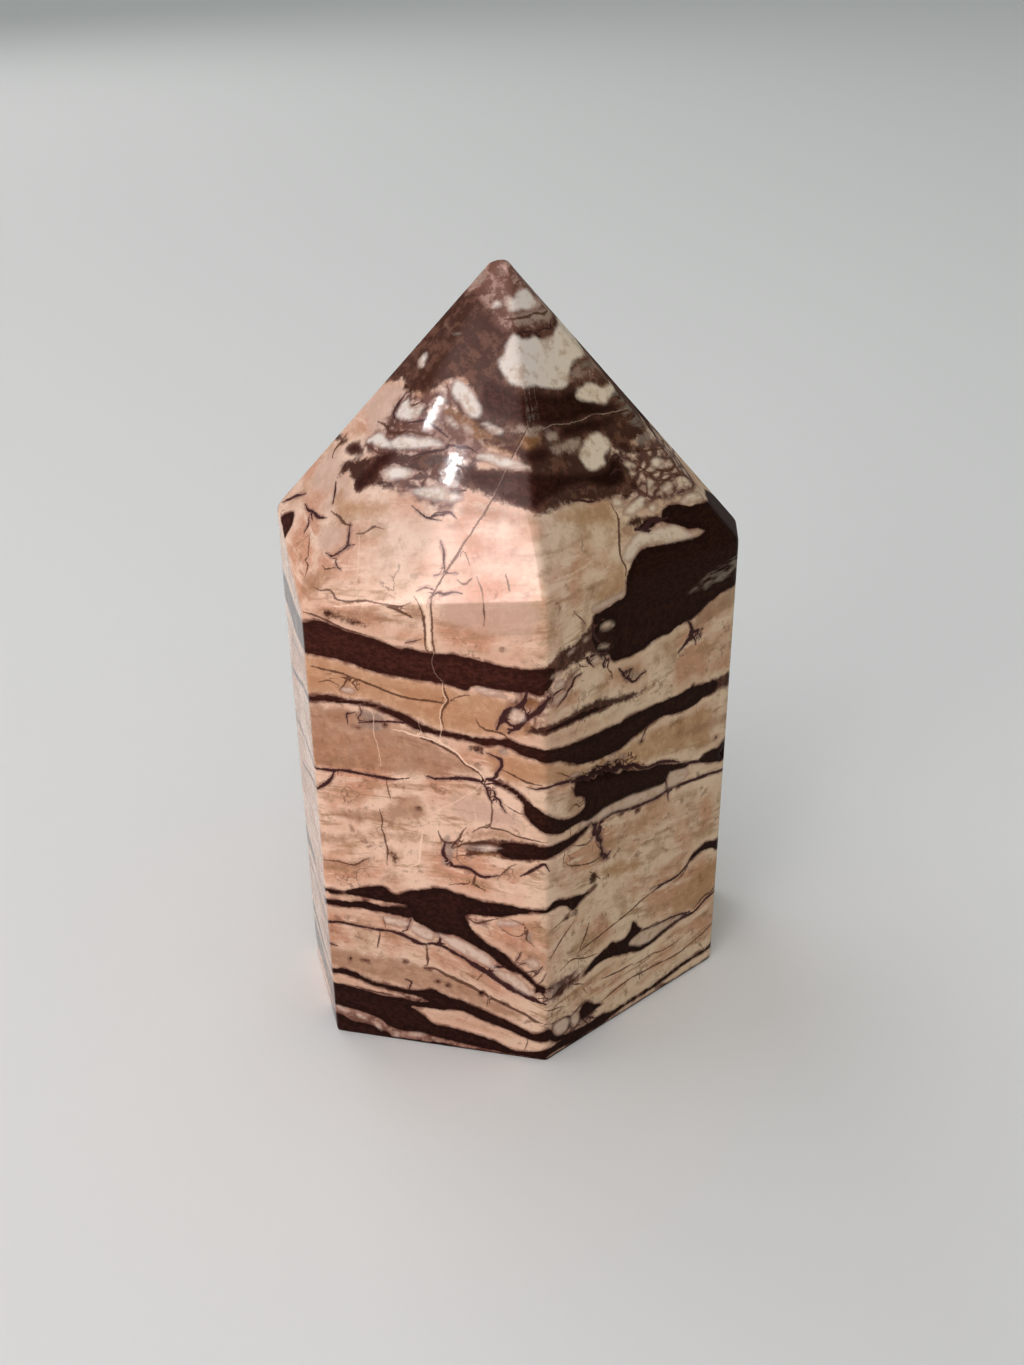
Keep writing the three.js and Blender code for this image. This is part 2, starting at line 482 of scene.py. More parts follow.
@dataclass
class Markings:
    """How far each point of the mesh is from the markings, kept as attributes of the mesh."""

    shape: TowerShape
    stone: StoneMesh
    reach: float = 2.2
    threads_reach: float = 1.1
    thread_step: float = 0.3
    taper: float = 1.8
    end_share: float = 0.3
    far: float = 4.0
    unset_half: float = 0.1
    edge_margin: float = 0.3
    least_layer: float = 0.5
    bite: int = 1500

    def __post_init__(self) -> None:
        """Starts with every point far from every marking."""
        count = len(self.stone.points)
        self.depths = {tone: np.full(count, self.far) for tone in Tone}
        self.sides = {thread: np.full(count, self.far) for thread in Thread}
        self.nearness = {thread: np.full(count, self.far) for thread in Thread}
        self.halves = {thread: np.full(count, self.unset_half) for thread in Thread}
        self.along, self.height = self.stone.places[:, 0], self.stone.places[:, 1]

    def _candidates(self, outline: np.ndarray, reach: float) -> np.ndarray:
        """Indices of the points that lie within reach of an outline."""
        low, high = outline.min(axis=0), outline.max(axis=0)
        wide = reach / self.shape.narrowing(high[1])
        inside = (self.along > low[0] - wide) & (self.along < high[0] + wide)
        inside &= (self.height > low[1] - reach) & (self.height < high[1] + reach)
        return np.nonzero(inside)[0]

    def _nearest(self, points: np.ndarray, course: np.ndarray) -> tuple[np.ndarray, np.ndarray, np.ndarray]:
        """Distance from each point to a course, with the offset and the run of the nearest piece."""
        start, run = course[:-1], course[1:] - course[:-1]
        length = np.maximum((run**2).sum(axis=1), TINY**2)
        best, offset, way = [], [], []
        for first in range(0, len(points), self.bite):
            some = points[first : first + self.bite]
            gap = some[:, None, :] - start
            share = np.clip((gap * run).sum(axis=2) / length, 0.0, 1.0)
            gap = gap - share[..., None] * run
            distance = (gap**2).sum(axis=2)
            pick = distance.argmin(axis=1)
            rows = np.arange(len(some))
            best.append(np.sqrt(distance[rows, pick]))
            offset.append(gap[rows, pick])
            way.append(run[pick])
        return np.concatenate(best), np.concatenate(offset), np.concatenate(way)

    def _inside(self, places: np.ndarray, outline: np.ndarray) -> np.ndarray:
        """Whether each place lies inside a closed outline."""
        following = np.roll(outline, -1, axis=0)
        inside = np.zeros(len(places), bool)
        for (x0, y0), (x1, y1) in zip(outline, following):
            if y0 == y1:
                continue
            crosses = (y0 > places[:, 1]) != (y1 > places[:, 1])
            inside ^= crosses & (places[:, 0] < (x1 - x0) * (places[:, 1] - y0) / (y1 - y0) + x0)
        return inside

    def _turns(self, outline: np.ndarray) -> list[np.ndarray]:
        """The outline, and its copy on the far side of the back seam where it crosses that."""
        girth, seam = self.shape.girth, self.shape.seam
        found = [outline]
        if outline[:, 0].max() > seam - self.reach:
            found.append(outline - (girth, 0.0))
        if outline[:, 0].min() < seam - girth + self.reach:
            found.append(outline + (girth, 0.0))
        return found

    def spread(self, mark: Layer | Patch | Pebble) -> None:
        """Adds a marking that covers an area."""
        depth = self.depths[mark.tone]
        for outline in self._turns(mark.outline()):
            near = self._candidates(outline, self.reach)
            if not len(near):
                continue
            closed = np.concatenate([outline, outline[:1]])
            course = self.shape.place(closed[:, 0], closed[:, 1])
            distance, _, _ = self._nearest(self.stone.surface[near], course)
            inside = self._inside(self.stone.places[near], outline)
            depth[near] = np.minimum(depth[near], np.where(inside, -distance, distance))

    def draw(self, line: Line) -> None:
        """Adds a thin line."""
        side, nearness = self.sides[line.thread], self.nearness[line.thread]
        half = line.width / 2
        for outline in self._turns(smooth(pairs(line.course), self.thread_step)):
            near = self._candidates(outline, self.threads_reach)
            if not len(near):
                continue
            course = self.shape.place(outline[:, 0], outline[:, 1])
            distance, offset, run = self._nearest(self.stone.surface[near], course)
            _, outward = self.shape.ease(self.stone.surface[near])
            across = np.cross(outward, run)
            across /= np.maximum(np.linalg.norm(across, axis=1, keepdims=True), TINY)
            signed = (offset * across).sum(axis=1)
            to_ends = [np.linalg.norm(self.stone.surface[near] - end, axis=1) for end in course[[0, -1]]]
            halves = half * np.clip(self.end_share + np.minimum(*to_ends) / self.taper, 0.0, 1.0)
            closer = distance - halves < nearness[near]
            picked = near[closer]
            side[picked] = signed[closer]
            self.halves[line.thread][picked] = halves[closer]
            nearness[picked] = (distance - halves)[closer]

    def grain(self, courses: tuple[tuple[float, Course], ...]) -> np.ndarray:
        """Height of every point as if the layers of the stone had never been folded.

        Args:
            courses: Folded layers as (their flat height, their course), from the base up.

        Returns:
            One flat height for each point.
        """
        flats = np.array([flat for flat, _ in courses], float)
        folded = np.array([np.interp(self.along, *pairs(course).T) for _, course in courses])
        found = np.full(len(self.along), flats[-1])
        for low, high, flat_low, flat_high in zip(folded, folded[1:], flats, flats[1:]):
            share = (self.height - low) / np.maximum(high - low, self.least_layer)
            inside = (share >= 0) & (share < 1)
            found[inside] = (flat_low + share * (flat_high - flat_low))[inside]
        below = self.height < folded[0]
        found[below] = (self.height - folded[0] + flats[0])[below]
        return found

    def write(self, stone: bpy.types.Object, grain: np.ndarray) -> None:
        """Stores every distance on the mesh, and the unfolded place for the fine grain."""
        mesh = stone.data
        for tone, depth in self.depths.items():
            write_numbers(mesh, tone.value, depth)
        for thread in Thread:
            write_numbers(mesh, thread.value, self.sides[thread])
            write_numbers(mesh, thread.value + "_half", self.halves[thread])
            write_numbers(mesh, thread.value + "_reach", self.nearness[thread])
        beyond_east = self.along > self.shape.starts[self.shape.far_face] + self.edge_margin
        far_side = beyond_east & (self.along < self.shape.starts[self.shape.far_face + 1])
        write_numbers(mesh, "far_side", far_side.astype(float))
        points = self.stone.points
        unfolded = np.stack([points[:, 0], points[:, 1], grain], axis=-1)
        attribute = mesh.attributes.new("unfolded", "FLOAT_VECTOR", "POINT")
        attribute.data.foreach_set("vector", unfolded.astype(np.float32).ravel())


def write_numbers(mesh: bpy.types.Mesh, name: str, values: np.ndarray) -> None:
    """Stores one number for each point of a mesh."""
    attribute = mesh.attributes.new(name, "FLOAT", "POINT")
    attribute.data.foreach_set("value", values.astype(np.float32))


# The markings of this stone, read from the photograph, in millimetres
# A layer gives its top and its bottom. A pebble gives its middle, length, thickness and tilt. A line
# gives its width, then its course.

# Folded layers for the fine grain: each one's flat height and its course.
GRAIN_COURSES: tuple[tuple[float, Course], ...] = (
    (0, (-35, 0, 125, 0)),
    (3, (-35, 4, 0, 4.5, 17, 4.9, 24, 3.5, 36, 2.6, 45, 1, 60, 1.3, 75, 2.2, 91, 4, 108, 5, 125, 4)),
    (9, (-35, 11, 0, 9.6, 17, 10.2, 23, 8.8, 30, 8.6, 36, 7, 45, 4.2, 60, 5, 75, 6, 91, 9, 125, 11)),
    (17, (-35, 19, 0, 17.5, 25, 17.5, 31, 16.5, 37, 13.2, 45, 9.4, 58, 11.8, 70, 10.4, 91, 15, 125, 19)),
    (24, (-35, 25, 0, 22, 17, 22.7, 32, 25, 45, 24, 56, 22, 62, 20, 75, 19, 91, 20, 108, 24, 125, 25)),
    (33, (-35, 34, 0, 33, 36, 33, 52, 32.8, 65, 32, 75, 30.8, 91, 31, 108, 34, 125, 34)),
    (40, (-35, 41, 0, 39, 17, 40.4, 33, 41.1, 45, 39.5, 52, 38, 65, 35.6, 75, 33.5, 91, 36, 125, 41)),
    (48, (-35, 48, 0, 47, 17, 49.8, 25, 49.6, 31, 47, 45, 45.3, 52, 43.5, 75, 44.2, 108, 47, 125, 48)),
    (56, (-35, 57, 0, 56.5, 17, 57.5, 25, 56, 40, 55, 46, 55.8, 52, 58, 75, 60, 91, 59, 125, 57)),
    (66, (-35, 65, 0, 66, 17, 63, 30, 64, 45, 66, 75, 67, 108, 65, 125, 65)),
    (75, (-35, 74, 0, 76, 17, 74.5, 30, 75.5, 45, 74.5, 58, 73, 75, 73, 125, 74)),
    (81, (-35, 81, 17, 81, 34, 80.5, 62, 80, 125, 81)),
    (95, (-35, 95, 125, 95)),
)

# The front left wall, and what shows of the narrow wall beside it.
FRONT_LEFT_LAYERS: Layers = {Tone.DARK: (
    ((-3, 58.2, 4, 59, 9, 58.6, 13, 58.8, 16.9, 59.4, 18.5, 59.9, 20, 59.6, 22, 58.9, 24, 58.5, 26.5, 57.8,
      28, 57.3, 29, 57.5, 31, 57.1, 34, 57.2, 37, 56.8, 40, 56.3, 42.5, 56.2, 44.6, 56.6, 45.8, 56.2),
     (-3, 55.6, 5, 55.2, 10, 54.8, 14, 55.3, 16.9, 55.6, 19, 55.5, 22, 55, 24, 54.4, 26, 54, 28, 53.8,
      31, 53.6, 33.5, 53.4, 35.5, 52.9, 36.4, 53.6, 38.5, 53.4, 41, 53.3, 42.5, 53.5, 43.8, 53.1, 44.8, 54,
      45.8, 55.2)),
    ((11, 48.9, 14, 49.3, 16.9, 49.9, 18, 50.3, 19.5, 50.5, 21, 50.2, 23.5, 50.1, 25, 49.9, 26.5, 49.4,
      28, 49, 29.3, 48.4, 30.3, 47.8, 32, 47.3, 33.5, 47.2, 36, 47, 37.8, 46.9, 38.3, 47.1, 39.2, 46.9,
      40.2, 47.2, 41.5, 46.6, 44.6, 46.1, 47, 45.6, 49, 45.4, 53, 45.3, 56, 45.3, 58, 45.5, 63, 45.4,
      66, 45.3, 68, 45.5, 68.4, 45.9, 68.8, 45.4, 70, 45.2, 72, 45, 73, 44.6),
     (11, 48.6, 14, 48.9, 16.9, 49.4, 18.5, 49.7, 20.5, 49.6, 22.5, 49.6, 24.5, 49.5, 26.5, 48.7, 28, 48,
      29.5, 47.2, 31, 46.8, 32.5, 46.7, 34, 46.6, 36, 46.3, 37.5, 46, 39, 46.2, 40.5, 46, 41.5, 45.3,
      43, 44.9, 44.6, 44.5, 46.5, 44, 48, 43.2, 49.5, 42.4, 51, 42, 53, 41.7, 56.5, 41.7, 58, 42.3, 60, 42.8,
      61.5, 43.1, 63.5, 43.4, 65, 43, 67, 42.7, 69, 42.8, 70.5, 43.3, 72, 43.3, 73, 44)),
    ((38.6, 32.2, 39.5, 32.9, 41, 33.1, 43, 33, 44.6, 32.9, 46, 32.7, 48, 32.6, 50, 32.8, 51.6, 33.2),
     (38.6, 31.6, 40, 30.9, 42, 30.9, 44.6, 31.2, 46.5, 31.3, 48.5, 31.6, 50, 32.1, 51.6, 32.8)),
    ((14.6, 20, 16.9, 21.2, 20, 21.4, 22, 21.7, 24, 21.3, 26, 21.5, 28, 21.6),
     (14.6, 19.3, 16.9, 20.5, 19, 20.5, 21, 20.7, 23, 20.5, 25, 20.3, 28, 20)),
    ((14.6, 9.6, 16.9, 10.3, 18.5, 10.6, 20, 10.2, 21.5, 9.5, 23, 9, 25, 8.8, 26.5, 8.6, 28, 8.7, 29.8, 9.2,
      31, 8.9, 32.5, 8.2, 34, 8, 35.5, 7.3, 37, 6.8, 39, 6, 41, 5.1, 43, 4.2, 44.6, 4.9, 45.4, 4.8),
     (14.6, 9, 16.9, 9.7, 19, 9.6, 20.5, 9.2, 22, 8.6, 24, 8.3, 27, 7.9, 29, 7.5, 30.6, 6.1, 33, 6.5, 35, 6,
      36, 5.5, 38, 4.9, 40, 4.3, 41.5, 3.6, 42.5, 3.2, 44.6, 3.2, 45.6, 3.4)),
    ((12, 1.6, 16.9, 2.9, 18, 2.6, 19.2, 2.1, 21, 2, 22.3, 1.6, 23.6, 1, 24.4, 0.2),
     (12, -1.5, 16.9, -1.5, 20, -1.5, 24.4, -1.5)),
    # Painted shade: a dark strip along the foot of the walls, where the stone meets the floor.
    ((23, 0.3, 27.5, 0.4, 29, 0.4, 30.5, 0.6, 33, 0.25, 40, 0.2, 45, 0.3, 52, 0.3, 60, 0.2, 75, 0.25),
     (23, -1.5, 75, -1.5)),
), Tone.BROWN: (
    ((35, 32.2, 37, 32.9, 39, 33.4, 41, 33.3, 43, 33.2, 45, 33),
     (34.8, 30, 36.5, 30.8, 38, 31, 40, 30.7, 42, 30.8, 45, 31.1)),
    ((31, 0.6, 34, 0.5, 38, 0.3, 41, 0.1), (31, -1.5, 41, -1.5)),
    ((26.4, 7.7, 28.5, 7.6, 30.6, 7.4), (26.4, 7, 28.5, 6.8, 30.6, 7)),
), Tone.SHADE: (
    ((35.5, 33.3, 37, 34.3, 38.5, 34.6, 40, 34.3, 41.5, 33.6, 43, 33.3),
     (35.5, 32.8, 37, 33.2, 39, 33.6, 41, 33.2, 42, 33.1, 43, 33.1)),
    ((14, 13.6, 16.9, 13.9, 20, 13.6, 24, 13.4, 28, 12.9, 31, 12.2, 34, 10.9, 37.5, 9.2, 41, 7.6),
     (14, 10.4, 16.9, 10.8, 20, 10.4, 24, 9.6, 28, 9, 31, 9.2, 34, 8.4, 38, 7, 41, 6.3)),
    ((16, 48.9, 20, 49, 24, 48.6, 28, 47.4, 31, 46, 34, 44.2, 37, 42.4),
     (16, 41, 20, 41, 25, 40.8, 30, 41.2, 33, 41.6, 35, 41.8, 37, 41.8)),
    ((18.5, 61.6, 21, 61.4, 24, 61.6, 27, 61.2, 30, 60.7),
     (18.5, 60.8, 21, 60.3, 24, 60.2, 27, 60.2, 30, 60.2)),
    ((32, 61.3, 34, 60.9, 36.2, 60.4), (32, 60.8, 34, 60.4, 36.2, 60.2)),
    ((16, 31.2, 19, 31, 22, 31.9, 26, 32.4, 30, 32.6), (16, 29.6, 19, 30.2, 22, 31.2, 26, 31.6, 30, 31.9)),
    ((17, 27.3, 19, 27.4, 21, 27.5, 23, 28.6), (17, 26.2, 19, 26.4, 21, 26.6, 23, 27.4)),
), Tone.TAN: (
    ((14, 54.4, 16.9, 55.4, 22, 54.8, 26, 53.8, 31, 53.4, 35, 52.8, 39, 52.4, 42, 50.5, 43, 49.2),
     (14, 49.9, 16.9, 50.3, 21, 50.5, 25, 50.2, 29, 48.9, 32, 47.6, 36, 47.3, 40, 47.6, 43, 48.2)),
    ((38, 46.4, 40, 45.4, 43, 44.6, 47, 43.6, 50, 41.8, 55, 41.4, 60, 41.6, 66, 41.6, 72, 41.2),
     (38, 42.6, 40, 41.6, 43, 41.4, 47, 41.2, 50, 40.6, 55, 39.8, 60, 38.2, 66, 37.4, 72, 36.2)),
)}
FRONT_LEFT_PATCHES: Outlines = {Tone.DARK: (
    (38.4, 41.2, 39.3, 41.3, 40.2, 40.9, 41.2, 40.4, 42.2, 39.3, 43.2, 38.5, 44.3, 37.7, 45.3, 36.9,
     46.6, 36, 48, 35.4, 49.5, 35.3, 50.3, 35.6, 50.8, 36.6, 50.5, 37.5, 49.2, 38.2, 48.9, 39.2, 49.4, 40.1,
     50.4, 39.8, 51.4, 39.3, 53.5, 39.2, 55, 38.8, 56, 38.3, 57.2, 38.1, 58.5, 37.6, 60, 37.1, 61.5, 36.7,
     63, 36.6, 64.3, 36.2, 65.5, 35.6, 66.8, 35.2, 67.8, 34.9, 68.6, 34.4, 67.5, 34.2, 66, 34.5, 64.9, 34.5,
     64.5, 33.6, 63.2, 33.5, 61, 33.7, 58, 34.2, 54, 34.3, 52.5, 33.9, 51.2, 33.7, 50.2, 34.1, 48.5, 34.1,
     47, 33.9, 45.8, 34.3, 44.6, 34.9, 43.5, 35.6, 42.5, 36.6, 41.9, 37.6, 41.9, 38.5, 41.4, 39.3,
     40.5, 40.1, 39.5, 40.7, 38.6, 40.8),
    (15.4, 22.3, 16.9, 22.9, 19.3, 22.9, 20.3, 23.3, 22, 23.8, 24.2, 24.4, 24.8, 24, 25.5, 23.5, 26.3, 23.3,
     27.2, 23.9, 28.5, 24.4, 30, 24.8, 31, 25.1, 32.2, 25.1, 33.2, 24.8, 34.5, 24.5, 36, 24.1, 38, 23.9,
     40, 23.9, 42, 23.7, 44.6, 23.8, 46, 24.6, 47.6, 23.9, 48.7, 23.7, 49.8, 23.4, 51, 23.2, 52.8, 23.5,
     51.2, 22.9, 50.1, 22.4, 49.2, 21.7, 48.5, 22, 47.9, 22.9, 46.5, 23.5, 44.6, 23.5, 43, 23.3, 41.5, 22.9,
     40, 22.4, 38.5, 22, 36.5, 21.9, 34.6, 21.7, 34.8, 20.6, 35.7, 19.2, 36.8, 18, 38.3, 17, 39.8, 16.1,
     40.6, 15, 42.2, 13.8, 43.3, 12.5, 44.3, 12, 44.6, 11.4, 44.1, 10.9, 43.7, 11.2, 43.2, 10.9, 43.3, 11.7,
     42.2, 12.9, 41.2, 13.7, 39.8, 14, 38.7, 14.9, 37.3, 16.2, 36, 16.9, 34.5, 17.8, 33, 18.3, 30.8, 18.4,
     29.5, 19.1, 28.2, 19.7, 27.8, 20.7, 27.6, 21.8, 26, 22.1, 23, 22.2, 20.5, 22.5, 18, 22.3, 16.9, 22.4,
     15.4, 21.9),
    (13.6, 6.6, 16.9, 7.9, 20.5, 7.6, 22.5, 7.2, 24, 7, 26, 7.1, 28, 6.9, 31.5, 7.3, 31.5, 6.2, 29, 6.1,
     27, 6, 27.6, 5.5, 28.6, 4.8, 29.4, 4.1, 30, 3.5, 32, 3.3, 34, 3, 36, 2.7, 38, 2.1, 39.4, 1.5, 40.5, 1,
     42.5, 1.2, 44.6, 1.8, 46, 1.7, 47.5, 1.9, 48.6, 2.2, 50, 2.1, 52, 1.9, 54, 2.1, 55.2, 1.7, 56.5, 1.2,
     55, 0.4, 52, 0.5, 50, 0.3, 48, 0.6, 46, 0.8, 44, 0.4, 41, 0.3, 38, 0.6, 35, 0.8, 32, 1.2, 30.5, 1.4,
     28, 1.8, 26, 1.7, 24.5, 1.9, 23.8, 2.2, 23.2, 3, 22, 3.4, 20.6, 3.9, 19.5, 4.1, 18, 4.2, 16.9, 4.3,
     13.6, 3.4),
), Tone.MAUVE: (
    (12, 4.2, 16.9, 5, 19.4, 4.6, 21.4, 4, 23.4, 2.6, 25.6, 2.2, 28, 2.2, 31, 1.6, 36, 0.9, 42, 0.6, 42, 0.1,
     33, 0.2, 27, 0.2, 24.4, 0.2, 22.4, 1.2, 19.6, 1.8, 16.9, 2.4, 12, 1.2),
), Tone.SHADE: (
    (19.4, 34.5, 22.5, 35.3, 24.8, 35.4, 26.4, 36.8, 27.5, 37.8, 29, 37.8, 30, 36.8, 30.2, 35.6, 29, 34.7,
     26.5, 34.1, 24, 33.8, 21, 33.6),
    (29.3, 62.9, 30.4, 62.6, 30.9, 61.4, 30.4, 60.9, 29.4, 61.4, 28.2, 62.2),
)}
FRONT_LEFT_PEBBLES: Outlines = {Tone.PALE: (
    (37, 31.8, 4.4, 0.8, 6), (34.9, 16.15, 8, 1.7, -29), (40.5, 12.25, 6, 1.6, -33),
    (29.2, 18.1, 3, 1.5, -22), (25.6, 19.2, 3.4, 1.1, -6), (17.8, 3.9, 2.2, 0.9, -12),
    (20.3, 3.1, 1.8, 0.7, -30), (22.5, 1.9, 1.7, 0.7, -48), (24.9, 0.9, 1, 1), (27.6, 1.3, 2.6, 0.7, 8),
    (30.2, 0.9, 1.2, 0.45, -30), (38.1, 53, 3.6, 0.75, -10), (41.2, 50.2, 2, 1.7, 20),
    (21.6, 51.4, 1.5, 0.5), (39.8, 21.2, 2.6, 0.7, 8), (42.9, 15.6, 1.6, 1.4, -20),
), Tone.AMBER: (
    (37.6, 31.1, 4, 0.5, 4), (42.8, 52, 2, 1.5, 20), (60.5, 43, 3.6, 1, 14), (66, 41.6, 3, 0.7, 6),
    (72, 15, 1.4, 1.6),
), Tone.BROWN: (
    (20.7, 60.8, 2.6, 0.55, -8), (22.9, 60.1, 2.6, 0.45, -8), (36.5, 45.4, 1.9, 0.6, -14),
    (26, 28.8, 0.8, 1.5), (34.6, 21.2, 1, 1.4),
), Tone.GREY: (
    (24.2, 48.3, 3.6, 1.3, -8), (24.5, 47, 3.2, 0.9, 4), (39.6, 45.5, 1.2, 1.1), (42.4, 19.5, 0.9, 1.3),
), Tone.DARK: (
    (25.8, 47.4, 0.8, 0.45, -30), (22.3, 46.7, 0.8, 0.25, -12), (29.3, 36.4, 0.5, 0.25),
    (19.4, 12.2, 0.3, 0.9, -8), (21.4, 12.4, 1.1, 0.28), (26.7, 13.2, 0.6, 0.3), (29.7, 12.5, 0.8, 0.3),
    (30.8, 10.6, 0.6, 0.36), (32, 10.3, 0.4, 0.36), (36.3, 9.75, 0.7, 0.45, 10),
    (39.2, 8.55, 0.7, 0.36, -10), (39.7, 58.5, 0.35, 0.3),
), Tone.SHADE: (
    (25.7, 26, 2, 1.4), (26, 29, 1.8, 2.6),
), Tone.MAUVE: (
    (36.4, 20.9, 3.2, 0.9, -14),
)}
